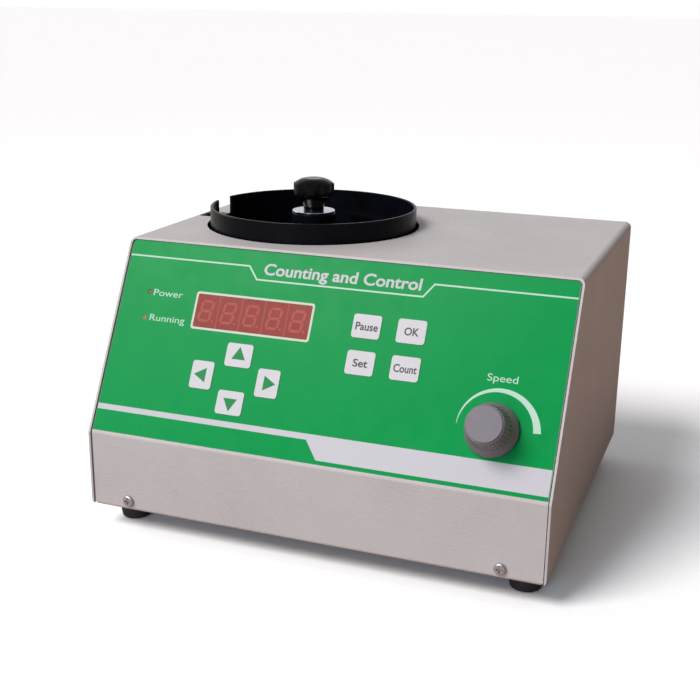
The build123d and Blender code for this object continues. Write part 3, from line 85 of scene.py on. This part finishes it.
def panel_of(node):
    """A node's extents along the panel: (x0, x1), (v0, v1) and its outermost n, in mm."""
    co = [v.co - PANEL_ORIGIN for v in nodes[node].data.vertices]
    xs = [ACROSS.dot(c) / MM for c in co]
    vs = [UP.dot(c) / MM for c in co]
    return (min(xs), max(xs)), (min(vs), max(vs)), max(NORMAL.dot(c) for c in co) / MM


# ---------------------------------------------------------------- materials


def srgb(r, g, b):
    """Linear colour of an 8-bit screen colour."""
    shares = [c / 255 for c in (r, g, b)]
    return tuple(c / 12.92 if c <= 0.04 else ((c + 0.055) / 1.055) ** 2.4 for c in shares) + (1.0,)


def tint(color, k):
    return tuple(min(1.0, c * k) for c in color[:3]) + (1.0,)


class Finish:
    """A node material that is coloured and bumped by noise in the object's own coordinates."""

    def __init__(self, name, color, rough, metallic=0.0):
        self.mat = bpy.data.materials.new(name)
        self.mat.use_nodes = True
        self.tree = self.mat.node_tree
        self.shader = self.tree.nodes["Principled BSDF"]
        self.color = color
        self.height = None
        self.shader.inputs["Base Color"].default_value = color
        self.shader.inputs["Roughness"].default_value = rough
        self.shader.inputs["Metallic"].default_value = metallic
        self.where = self.tree.nodes.new("ShaderNodeTexCoord").outputs["Object"]

    def node(self, kind, **props):
        n = self.tree.nodes.new(kind)
        for key, value in props.items():
            setattr(n, key, value)
        return n

    def link(self, a, b):
        self.tree.links.new(a, b)

    def noise(self, size, detail=3.0, rough=0.5, stretch=(1, 1, 1)):
        """Noise whose lumps are about size mm across; stretch lengthens them along an axis."""
        scaled = self.node("ShaderNodeMapping")
        scaled.inputs["Scale"].default_value = [1 / s for s in stretch]
        tex = self.node("ShaderNodeTexNoise")
        tex.inputs["Scale"].default_value = 1 / (size * MM)
        tex.inputs["Detail"].default_value = detail
        tex.inputs["Roughness"].default_value = rough
        self.link(self.where, scaled.inputs["Vector"])
        self.link(scaled.outputs["Vector"], tex.inputs["Vector"])
        return tex.outputs["Fac"]

    def ramp(self, value, low, high, to_low=0.0, to_high=1.0):
        r = self.node("ShaderNodeMapRange")
        r.inputs["From Min"].default_value = low
        r.inputs["From Max"].default_value = high
        r.inputs["To Min"].default_value = to_low
        r.inputs["To Max"].default_value = to_high
        self.link(value, r.inputs["Value"])
        return r.outputs["Result"]

    def mottle(self, value, other, low=0.35, high=0.65):
        """Blends the colour so far towards another where value is high."""
        mix = self.node("ShaderNodeMix", data_type="RGBA")
        self.link(self.ramp(value, low, high), mix.inputs["Factor"])
        base = self.shader.inputs["Base Color"]
        if base.is_linked:
            self.link(base.links[0].from_socket, mix.inputs["A"])
        else:
            mix.inputs["A"].default_value = self.color
        mix.inputs["B"].default_value = other
        self.link(mix.outputs["Result"], base)
        return self

    def polish(self, value, low, high):
        """Roughness that varies from low to high with value."""
        self.link(self.ramp(value, 0.35, 0.65, low, high), self.shader.inputs["Roughness"])
        return self

    def bump(self, value, depth, strength=1.0):
        """Relief, depth in mm."""
        b = self.node("ShaderNodeBump")
        b.inputs["Distance"].default_value = depth * MM
        b.inputs["Strength"].default_value = strength
        self.link(value, b.inputs["Height"])
        if self.height is not None:
            self.link(self.height, b.inputs["Normal"])
        self.height = b.outputs["Normal"]
        self.link(self.height, self.shader.inputs["Normal"])
        return self

    def set(self, **values):
        for key, value in values.items():
            self.shader.inputs[key.replace("_", " ")].default_value = value
        return self


def paint(name, color, rough=0.5):
    """Fine-textured powder coat."""
    f = Finish(name, color, rough)
    f.mottle(f.noise(1.0, 3, 0.6), tint(color, 0.86), 0.30, 0.75)
    f.mottle(f.noise(60, 2), tint(color, 1.03), 0.3, 0.7)
    f.polish(f.noise(2.5, 2), rough - 0.06, rough + 0.06)
    f.bump(f.noise(1.1, 3, 0.55), 0.28, 0.9)
    f.set(Specular_IOR_Level=0.3)
    return f.mat


def plastic(name, color, rough, grain=0.6, depth=0.02, other=None, gloss=0.5):
    """Moulded plastic or rubber with a fine spark-eroded grain."""
    f = Finish(name, color, rough)
    f.mottle(f.noise(9, 4), other or tint(color, 1.25), 0.35, 0.8)
    f.polish(f.noise(5, 3), max(0.03, rough - 0.06), rough + 0.08)
    f.bump(f.noise(grain, 2), depth)
    f.set(Specular_IOR_Level=gloss)
    return f.mat


def metal(name, color, rough, stretch=(1, 1, 1), size=0.5, depth=0.006):
    """Plated, turned or rolled metal; stretch draws its marks out along an axis."""
    f = Finish(name, color, rough, metallic=1.0)
    f.mottle(f.noise(size * 6, 4, 0.6, stretch), tint(color, 0.72), 0.3, 0.8)
    f.polish(f.noise(size * 3, 3, 0.6, stretch), rough - 0.08, rough + 0.12)
    f.bump(f.noise(size, 3, 0.6, stretch), depth)
    return f.mat


def film(name, color, rough, spread=1.05, gloss=0.15):
    """Printed polyester film with the faint ripple of its adhesive."""
    f = Finish(name, color, rough)
    f.mottle(f.noise(35, 3), tint(color, spread), 0.3, 0.7)
    f.polish(f.noise(12, 3), rough - 0.04, rough + 0.05)
    f.bump(f.noise(14, 2), 0.008)
    f.bump(f.noise(0.35, 1), 0.004)
    f.set(Specular_IOR_Level=gloss)
    return f.mat


CASE_GREY = srgb(178, 172, 171)
GREEN = srgb(0, 134, 66)
WHITE_INK = srgb(182, 180, 184)
KNOB_GREY = srgb(111, 106, 112)
m = {
    "case_paint": paint("powder_coat", CASE_GREY),
    "zinc_sheet": metal("zinc_sheet", srgb(176, 180, 184), 0.38, (6, 1, 1), 1.5),
    "screw_steel": metal("zinc_screw", srgb(192, 190, 190), 0.42),
    "overlay_green": film("green_film", GREEN, 0.28, gloss=0.06),
    "window_red": film("red_window", srgb(131, 54, 47), 0.24, gloss=0.07),
    "key_film": film("key_film", srgb(192, 190, 192), 0.42, 0.97),
    "lamp_lens": plastic("lamp_lens", srgb(150, 96, 76), 0.5, 0.5, 0.01, gloss=0.2),
    "knob_grey": plastic(
        "knob_grey", KNOB_GREY, 0.45, 0.5, 0.03, tint(KNOB_GREY, 1.06), gloss=0.25
    ),
    "knob_black": plastic("knob_black", srgb(4, 4, 7), 0.14, 1.2, 0.01, srgb(7, 7, 11), gloss=0.13),
    "washer_steel": metal("washer_steel", srgb(206, 208, 214), 0.16, (1, 1, 1), 1.6, 0.001),
    "rubber_black": plastic("foot_rubber", srgb(40, 39, 41), 0.72, 0.5, 0.05),
    "black_plastic": plastic("black_plastic", srgb(30, 30, 32), 0.45, 0.4, 0.03),
    "digit_grey": plastic("digit_modules", srgb(120, 114, 112), 0.5),
    "cast_base": plastic("cast_base", srgb(70, 72, 76), 0.6, 2.0, 0.15),
    "spring_steel": metal("spring_steel", srgb(92, 98, 112), 0.32, (1, 1, 8), 0.6),
    "core_steel": metal("laminations", srgb(92, 88, 84), 0.5, (30, 30, 1), 0.5, 0.05),
    "turned_aluminium": metal("turned_aluminium", srgb(206, 208, 210), 0.30, (1, 1, 1), 0.5),
    "bright_steel": metal("bright_steel", srgb(184, 184, 186), 0.30),
}

# the bowl's black, and its lighter blotches, carry a blue cast that is a painted reflection of the sky
f = Finish("bowl_black_painted_sky_tint", srgb(7, 8, 12), 0.30)
f.mottle(f.noise(18, 4), srgb(11, 12, 20), 0.35, 0.75)
f.polish(f.noise(7, 4), 0.22, 0.32)
f.bump(f.noise(0.8, 3, 0.6, (1, 1, 0.25)), 0.03)
f.set(Specular_IOR_Level=0.08)
m["bowl_black"] = f.mat

f = Finish("circuit_board", srgb(18, 92, 52), 0.4)
f.mottle(f.noise(3.5, 2, 0.5, (5, 1, 1)), srgb(34, 122, 70), 0.48, 0.54)
f.mottle(f.noise(3.5, 2, 0.5, (1, 5, 5)), srgb(26, 108, 60), 0.50, 0.56)
f.bump(f.noise(3.5, 2, 0.5, (5, 1, 1)), 0.02)
m["board_green"] = f.mat

# copper wire in turns: the darker half of each wave band is painted shade where the turns meet, and the same bands
# give the bump
f = Finish("winding_wire", srgb(170, 92, 44), 0.35, 0.6)
wave = f.node("ShaderNodeTexWave", bands_direction="Z")
wave.inputs["Scale"].default_value = 450
wave.inputs["Distortion"].default_value = 0.6
f.link(f.where, wave.inputs["Vector"])
f.mottle(wave.outputs["Fac"], srgb(112, 54, 24), 0.2, 0.9)
f.polish(f.noise(4, 3), 0.28, 0.45)
f.bump(wave.outputs["Fac"], 0.15)
m["winding"] = f.mat

m["ink_white"] = film("white_ink", WHITE_INK, 0.4, 0.98)
m["ink_pale"] = film("pale_green_ink", srgb(172, 200, 182), 0.4, 0.98)
m["ink_grey"] = film("grey_ink", srgb(70, 70, 72), 0.45, 1.1)
m["ink_green"] = film("green_ink", srgb(0, 120, 58), 0.4)
m["segment"] = film("display_segment", srgb(158, 74, 65), 0.3, gloss=0.07)
m["cell_gap"] = film("display_cell_gap", srgb(144, 70, 62), 0.3, gloss=0.07)
m["frame_pale"] = film("window_border", srgb(190, 192, 176), 0.4, 0.98)

for part in frame["record"]["subparts"]:
    o = nodes[part["node"]]
    o.data.materials.clear()
    o.data.materials.append(m[part["material_slot"]])

# ---------------------------------------------------------------- printed shapes on the panel

INK_T = 0.05
FILM_MARGIN = 0.2  # bare film beyond the ends of the printed lines
FONT_CAPITAL = 0.72  # height of the built-in font's capitals at size 1


def piece(name, bm, material, body):
    """Turns a bmesh, which it frees, into a piece that rides on a body."""
    bmesh.ops.recalc_face_normals(bm, faces=bm.faces)
    mesh = bpy.data.meshes.new(name)
    bm.to_mesh(mesh)
    bm.free()
    o = bpy.data.objects.new(name, mesh)
    bpy.context.scene.collection.objects.link(o)
    mesh.materials.append(m[material])
    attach(o, body)
    return o


def add_plate(bm, outline, n, thick=INK_T, hole=None, at=on_panel):
    """A flat closed shape on the panel; hole, if given, has as many points as the outline."""
    tops = [bm.verts.new(at(x, v, n + thick)) for x, v in outline]
    feet = [bm.verts.new(at(x, v, n)) for x, v in outline]
    count = len(outline)
    for i in range(count):
        j = (i + 1) % count
        bm.faces.new((feet[i], feet[j], tops[j], tops[i]))
    if hole is None:
        bm.faces.new(tops)
        bm.faces.new(feet[::-1])
        return
    inner_tops = [bm.verts.new(at(x, v, n + thick)) for x, v in hole]
    inner_feet = [bm.verts.new(at(x, v, n)) for x, v in hole]
    for i in range(count):
        j = (i + 1) % count
        bm.faces.new((inner_tops[i], inner_tops[j], inner_feet[j], inner_feet[i]))
        bm.faces.new((tops[i], tops[j], inner_tops[j], inner_tops[i]))
        bm.faces.new((inner_feet[i], inner_feet[j], feet[j], feet[i]))


def stroke(points, width):
    """Outline of a line of even width through points, with mitred corners."""
    left, right = [], []
    for i, p in enumerate(points):
        p = Vector(p)
        before = (p - Vector(points[i - 1])).normalized() if i else None
        after = (Vector(points[i + 1]) - p).normalized() if i < len(points) - 1 else None
        along = ((before or after) + (after or before)).normalized()
        side = Vector((-along.y, along.x))
        one = before or after
        reach = width / 2 / max(0.3, side.dot(Vector((-one.y, one.x))))
        left.append(tuple(p + side * reach))
        right.append(tuple(p - side * reach))
    return left + right[::-1]


def rounded(x, v, w, h, r, steps=6):
    """Outline of a rounded rectangle about (x, v)."""
    out = []
    for cx, cv, start in ((1, 1, 0), (-1, 1, 90), (-1, -1, 180), (1, -1, 270)):
        for k in range(steps + 1):
            a = math.radians(start + 90 * k / steps)
            across = cx * (w / 2 - r) + r * math.cos(a)
            upward = cv * (h / 2 - r) + r * math.sin(a)
            out.append((x + across, v + upward))
    return out


def lettering(name, words, spot, height, width, n, ink, body, bold=0.0, slant=0.0):
    """Lettering on the panel: spot is the middle of its baseline, and height that of a capital."""
    curve = bpy.data.curves.new(name, "FONT")
    curve.body = words
    curve.align_x = "CENTER"
    curve.offset = bold
    curve.extrude = 0.01
    curve.resolution_u = 5
    o = bpy.data.objects.new(name, curve)
    bpy.context.scene.collection.objects.link(o)
    bpy.context.view_layer.update()
    mesh = bpy.data.meshes.new_from_object(o.evaluated_get(bpy.context.evaluated_depsgraph_get()))
    bpy.data.objects.remove(o)
    bm = bmesh.new()
    bm.from_mesh(mesh)
    bpy.data.meshes.remove(mesh)
    bmesh.ops.remove_doubles(bm, verts=bm.verts, dist=1e-5)
    xs = [v.co.x for v in bm.verts]
    sy = height / FONT_CAPITAL
    sx = width / (max(xs) - min(xs))
    for v in bm.verts:
        along = v.co.x * sx + v.co.y * sy * slant
        v.co = on_panel(spot[0] + along, spot[1] + v.co.y * sy, n + (INK_T if v.co.z > 0 else 0))
    return piece(name, bm, ink, body)


film_x, _, film_n = panel_of("panel_overlay")
film_left = film_x[0] + FILM_MARGIN
film_right = film_x[1] - FILM_MARGIN

# title line that dips under the heading
LINE_V, DIP_V, LINE_W = 127.9, 119.0, 1.1
TITLE_SPOT, TITLE_CAPITAL, TITLE_W = (1.5, 123.0), 8.0, 111.0
line = [
    (film_left, LINE_V), (-65.2, LINE_V), (-58.2, DIP_V),
    (59.1, DIP_V), (65.6, LINE_V), (film_right, LINE_V),
]
bm = bmesh.new()
add_plate(bm, stroke(line, LINE_W), film_n)
piece("title_line", bm, "ink_pale", "case")
lettering(
    "title", "Counting and Control", TITLE_SPOT, TITLE_CAPITAL, TITLE_W,
    film_n, "ink_white", "case", bold=0.022, slant=0.05,
)

# stripe that widens into a blank white field
STRIPE_TOP, STRIPE_FOOT, FIELD_TOP, FIELD_FOOT = 21.0, 17.2, 21.3, 5.0
field = [
    (film_left, STRIPE_TOP), (film_left, STRIPE_FOOT), (-1.6, STRIPE_FOOT), (7.4, FIELD_FOOT),
    (film_right, FIELD_FOOT), (film_right, FIELD_TOP),
]
bm = bmesh.new()
add_plate(bm, field, film_n)
piece("white_field", bm, "ink_white", "case")

# speed dial: a band that widens clockwise round the knob
knob_x, knob_v, _ = panel_of("speed_knob")
ARC_SHIFT = 1.2  # the print is a little right of the knob
kx, kv = sum(knob_x) / 2 + ARC_SHIFT, sum(knob_v) / 2
ARC_IN, ARC_THIN, ARC_THICK, ARC_STEPS = 24.0, 24.3, 28.7, 48
ARC_LIFT = math.radians(3.8)  # how far both ends stop above level
inner, outer = [], []
for k in range(ARC_STEPS + 1):
    a = ARC_LIFT + (math.pi - 2 * ARC_LIFT) * k / ARC_STEPS
    r = ARC_THIN + (ARC_THICK - ARC_THIN) * k / ARC_STEPS
    inner.append((kx - ARC_IN * math.cos(a), kv + ARC_IN * math.sin(a)))
    outer.append((kx - r * math.cos(a), kv + r * math.sin(a)))
bm = bmesh.new()
add_plate(bm, inner + outer[::-1], film_n)
piece("speed_arc", bm, "ink_pale", "case")

# labels of the dial and the lamps
LABEL_H = 4.8
for name, words, spot, width in (
    ("speed_label", "Speed", (kx + 0.4, 70.5), 19.4),
    ("power_label", "Power", (-122.2, 100.4), 22.5),
    ("running_label", "Running", (-119.1, 82.6), 27.0),
):
    lettering(name, words, spot, LABEL_H, width, film_n, "ink_pale", "case")

# display: pale border, unlit figures and the gaps between their cells
win_x, win_v, win_n = panel_of("display_window")
wx, wv = sum(win_x) / 2, sum(win_v) / 2
BORDER_SIZE, BORDER_HOLE = (87.4, 26.3, 2.0), (84.4, 23.3, 1.0)
bm = bmesh.new()
add_plate(bm, rounded(wx, wv, *BORDER_SIZE), film_n, hole=rounded(wx, wv, *BORDER_HOLE))
piece("window_border", bm, "frame_pale", "case")

DIGITS = 5
PITCH, DIGIT_H, DIGIT_W, SEG = 16.85, 15.4, 9.8, 1.8
LEAN = math.tan(math.radians(8))
SEG_GAP, SEG_INSET = 0.25, SEG * 0.62
DOT_OUT, DOT_R, DOT_SIDES = 1.9, 0.9, 12
DOT_ROOM = 0.6  # how far the figures stand left of their cells' middles
FIGURE_T, GAP_T = 0.03, 0.02
GAP_W, GAP_MARGIN, GAP_R = 1.3, 3.0, 0.4
half_w, half_h = DIGIT_W / 2, DIGIT_H / 2


def level_bar(y):
    """A digit's bar across, at height y."""
    reach, point = half_w - SEG_INSET, half_w - SEG_INSET - SEG / 2
    upper, lower = y + SEG / 2, y - SEG / 2
    return [(-reach, y), (-point, upper), (point, upper), (reach, y), (point, lower), (-point, lower)]


def upright_bar(side, half):
    """A digit's bar up one side (-1 left, 1 right) of its lower or upper half (-1 or 1)."""
    x, near, far = side * (half_w - SEG / 2), SEG_GAP, half_h - SEG / 2 - SEG_GAP
    inner, outer = near + SEG / 2, far - SEG / 2
    bar = [
        (x, half * near), (x + SEG / 2, half * inner), (x + SEG / 2, half * outer),
        (x, half * far), (x - SEG / 2, half * outer), (x - SEG / 2, half * inner),
    ]
    return bar if half > 0 else bar[::-1]


def dot():
    """A digit's decimal point."""
    x, y = half_w + DOT_OUT - half_h * LEAN, -half_h + DOT_R
    turns = [math.tau * k / DOT_SIDES for k in range(DOT_SIDES)]
    return [(x + DOT_R * math.cos(t), y + DOT_R * math.sin(t)) for t in turns]


bars = [level_bar(k * (half_h - SEG / 2)) for k in (-1, 0, 1)]
bars += [upright_bar(side, half) for half in (-1, 1) for side in (-1, 1)]
bm = bmesh.new()
for k in range(DIGITS):
    cx = wx + (k - (DIGITS - 1) / 2) * PITCH - DOT_ROOM
    for bar in bars:
        add_plate(bm, [(cx + x + y * LEAN, wv + y) for x, y in bar], win_n, FIGURE_T)
    add_plate(bm, [(cx + x, wv + y) for x, y in dot()], win_n, FIGURE_T)
piece("display_figures", bm, "segment", "case")
bm = bmesh.new()
for k in range(DIGITS - 1):
    cx = wx + (k - (DIGITS - 2) / 2) * PITCH
    gap_h = win_v[1] - win_v[0] - GAP_MARGIN
    add_plate(bm, rounded(cx, wv, GAP_W, gap_h, GAP_R, 2), win_n, GAP_T)
piece("display_cell_gaps", bm, "cell_gap", "case")

# key legends
ARROW = 5.8  # from an arrow's middle to its corners
KEY_CAPITAL = 5.2


def key_face(name):
    """A key's middle, (x, v), and its face's n."""
    key_x, key_v, key_n = panel_of("key_" + name)
    return sum(key_x) / 2, sum(key_v) / 2, key_n


for name, turn in (("up", 0), ("left", 90), ("down", 180), ("right", 270)):
    x, v, n = key_face(name)
    corners = [math.radians(corner + turn) for corner in (90, 210, 330)]
    bm = bmesh.new()
    add_plate(bm, [(x + ARROW * math.cos(t), v + ARROW * math.sin(t)) for t in corners], n)
    piece("legend_" + name, bm, "ink_green", "key_" + name)
for name, words, width in (
    ("pause", "Pause", 15.4), ("ok", "OK", 9.8), ("set", "Set", 10.0), ("count", "Count", 15.6)
):
    x, v, n = key_face(name)
    lettering(
        "legend_" + name, words, (x, v - KEY_CAPITAL / 2), KEY_CAPITAL, width,
        n, "ink_grey", "key_" + name, bold=0.02,
    )

# on and off marks on the rocker's outer face
rocker = nodes["power_rocker"].data
outer_face = max((p for p in rocker.polygons if p.normal.y > 0.9), key=lambda p: p.area)
ROCKER_OUT = outer_face.normal.copy()
ROCKER_RIGHT = Vector((-1, 0, 0))
ROCKER_UP = ROCKER_OUT.cross(ROCKER_RIGHT)
rocker_lo, rocker_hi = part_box("power_rocker")
_, pivot_y, pivot_z = joints["power_rock"]["pos_m"]
rocker_mid = Vector(((rocker_lo.x + rocker_hi.x) / 2, pivot_y, pivot_z))
rocker_face = max(ROCKER_OUT.dot(v.co) for v in rocker.vertices)
rocker_mid += ROCKER_OUT * (rocker_face - ROCKER_OUT.dot(rocker_mid))


def on_rocker(x, v, n):
    return rocker_mid + ROCKER_RIGHT * (x * MM) + ROCKER_UP * (v * MM) + ROCKER_OUT * (n * MM)


ON_HALF_W, ON_FOOT, ON_TOP = 0.35, 1.6, 4.4
OFF_V, OFF_R, OFF_HOLE_R, OFF_SIDES = -3.0, 1.5, 1.0, 20
bm = bmesh.new()
on_bar = [(-ON_HALF_W, ON_FOOT), (ON_HALF_W, ON_FOOT), (ON_HALF_W, ON_TOP), (-ON_HALF_W, ON_TOP)]
add_plate(bm, on_bar, 0, at=on_rocker)
turns = [math.tau * k / OFF_SIDES for k in range(OFF_SIDES)]
off_outer, off_inner = (
    [(r * math.cos(t), OFF_V + r * math.sin(t)) for t in turns] for r in (OFF_R, OFF_HOLE_R)
)
add_plate(bm, off_outer, 0, hole=off_inner, at=on_rocker)
piece("rocker_marks", bm, "ink_white", "rocker")

# ---------------------------------------------------------------- leaf springs, cut across into bands along their height

LEAF_CUTS = 8
src = nodes["leaf_springs"]
leaf = bpy.data.objects.new("leaf_springs_flexing", src.data.copy())
bpy.context.scene.collection.objects.link(leaf)
low_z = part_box("spring_clamps_lower")[1].z
high_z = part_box("spring_clamps_upper")[0].z
bm = bmesh.new()
bm.from_mesh(leaf.data)
for k in range(1, LEAF_CUTS):
    z = low_z + (high_z - low_z) * k / LEAF_CUTS
    everything = bm.verts[:] + bm.edges[:] + bm.faces[:]
    bmesh.ops.bisect_plane(bm, geom=everything, plane_co=(0, 0, z), plane_no=(0, 0, 1))
bm.to_mesh(leaf.data)
bm.free()
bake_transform(leaf)
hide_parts("leaf_springs")

# ---------------------------------------------------------------- floor, light and camera


def plane(name, size, at):
    bm = bmesh.new()
    bmesh.ops.create_grid(bm, x_segments=1, y_segments=1, size=size)
    mesh = bpy.data.meshes.new(name)
    bm.to_mesh(mesh)
    bm.free()
    o = bpy.data.objects.new(name, mesh)
    o.location = at
    bpy.context.scene.collection.objects.link(o)
    return o


FLOOR_HALF = 30.0
FLOOR_DROP = 0.0002  # below the feet, so that the faces don't meet
floor = plane("floor", FLOOR_HALF, (0, 0, -FLOOR_DROP))
f = Finish("floor_pale", srgb(255, 255, 255), 0.9)
f.mottle(f.noise(4, 2), srgb(253, 253, 253), 0.4, 0.6)
f.set(Specular_IOR_Level=0.1)
floor.data.materials.append(f.mat)
# the floor is pale to the camera, and lights the object like a brown bench top
bench = f.node("ShaderNodeBsdfDiffuse")
bench.inputs["Color"].default_value = srgb(190, 166, 152)
choice = f.node("ShaderNodeMixShader")
f.link(f.node("ShaderNodeLightPath").outputs["Is Camera Ray"], choice.inputs["Fac"])
f.link(bench.outputs["BSDF"], choice.inputs[1])
f.link(f.shader.outputs["BSDF"], choice.inputs[2])
f.link(choice.outputs["Shader"], f.tree.nodes["Material Output"].inputs["Surface"])

world = bpy.data.worlds.new("studio")
bpy.context.scene.world = world
world.use_nodes = True
world_tree = world.node_tree
ambient = world_tree.nodes["Background"]
ambient.inputs["Strength"].default_value = 1.0
toward = world_tree.nodes.new("ShaderNodeTexCoord")


def facing(direction, low, high):
    """1 where the world's direction is at least high along direction, and 0 below low."""
    dot = world_tree.nodes.new("ShaderNodeVectorMath")
    dot.operation = "DOT_PRODUCT"
    dot.inputs[1].default_value = Vector(direction).normalized()
    world_tree.links.new(toward.outputs["Generated"], dot.inputs[0])
    span = world_tree.nodes.new("ShaderNodeMapRange")
    span.interpolation_type = "SMOOTHSTEP"
    span.inputs["From Min"].default_value = low
    span.inputs["From Max"].default_value = high
    world_tree.links.new(dot.outputs["Value"], span.inputs["Value"])
    return span.outputs["Result"]


# a dim warm room that lights the object, with a broad glow at the back left and another overhead
sky = (0.10, 0.08, 0.07, 1)
sources = (
    (facing((-0.5, 0.86, 0.15), 0.45, 0.85), (0.80, 0.82, 0.86, 1)),
    (facing((0, 0, 1), 0.35, 0.95), (0.34, 0.34, 0.35, 1)),
)
for amount, glow in sources:
    shade = world_tree.nodes.new("ShaderNodeMix")
    shade.data_type = "RGBA"
    if isinstance(sky, tuple):
        shade.inputs["A"].default_value = sky
    else:
        world_tree.links.new(sky, shade.inputs["A"])
    shade.inputs["B"].default_value = glow
    world_tree.links.new(amount, shade.inputs["Factor"])
    sky = shade.outputs["Result"]
world_tree.links.new(sky, ambient.inputs["Color"])
# the camera sees a plain white background
seen = world_tree.nodes.new("ShaderNodeBackground")
seen.inputs["Color"].default_value = (1, 1, 1, 1)
seen.inputs["Strength"].default_value = 1.0
pick = world_tree.nodes.new("ShaderNodeMixShader")
path = world_tree.nodes.new("ShaderNodeLightPath")
world_tree.links.new(path.outputs["Is Camera Ray"], pick.inputs["Fac"])
world_tree.links.new(ambient.outputs["Background"], pick.inputs[1])
world_tree.links.new(seen.outputs["Background"], pick.inputs[2])
world_tree.links.new(pick.outputs["Shader"], world_tree.nodes["World Output"].inputs["Surface"])

SUN_FROM = (-0.40, -0.54, 0.75)
sun_data = bpy.data.lights.new("main_light", "SUN")
sun_data.energy = 2.9
sun_data.color = (1.0, 0.975, 0.965)
sun_data.angle = math.radians(28)
sun = bpy.data.objects.new("main_light", sun_data)
sun.rotation_mode = "QUATERNION"
sun.rotation_quaternion = (-Vector(SUN_FROM)).to_track_quat("-Z", "Y")
bpy.context.scene.collection.objects.link(sun)


LIT_SPOT = (0, 0, 0.1)


def area(name, at, size, power, color=(1, 1, 1)):
    """A round soft light at a point, turned towards the object."""
    data = bpy.data.lights.new(name, "AREA")
    data.shape = "DISK"
    data.size = size
    data.energy = power
    data.color = color
    o = bpy.data.objects.new(name, data)
    o.location = at
    o.rotation_mode = "QUATERNION"
    o.rotation_quaternion = (Vector(LIT_SPOT) - Vector(at)).to_track_quat("-Z", "Y")
    bpy.context.scene.collection.objects.link(o)


area("left_card", (-1.6, 0.3, 0.9), 1.0, 5)
area("front_left_card", (-1.25, -1.35, 1.0), 0.6, 3.5)
area("front_card", (-0.35, -2.0, 0.6), 0.9, 11, (0.76, 1.0, 1.24))

# the camera stands front right of the case and above it, looking down at it
CAM_FORWARD, CAM_UP = (-0.33774, 0.89467, -0.29239), (-0.11465, 0.26922, 0.95623)
CAM_FROM_FRONT = (0.26744, -0.6257, 0.34)  # from the middle of the cover's front lower edge
cam_data = bpy.data.cameras.new("camera")
cam_data.sensor_width = 36.0
cam_data.lens = 59.04
cam_data.dof.use_dof = False
cam = bpy.data.objects.new("camera", cam_data)
fwd = Vector(CAM_FORWARD).normalized()
right = fwd.cross(Vector(CAM_UP)).normalized()
up = right.cross(fwd)
cover_lo, cover_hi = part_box("cover")
case_front = Vector(((cover_lo.x + cover_hi.x) / 2, cover_lo.y, cover_lo.z))
eye = case_front + Vector(CAM_FROM_FRONT)
cam.matrix_world = Matrix.Translation(eye) @ Matrix((right, up, -fwd)).transposed().to_4x4()
bpy.context.scene.collection.objects.link(cam)
bpy.context.scene.camera = cam
bpy.context.scene.view_settings.view_transform = "Standard"
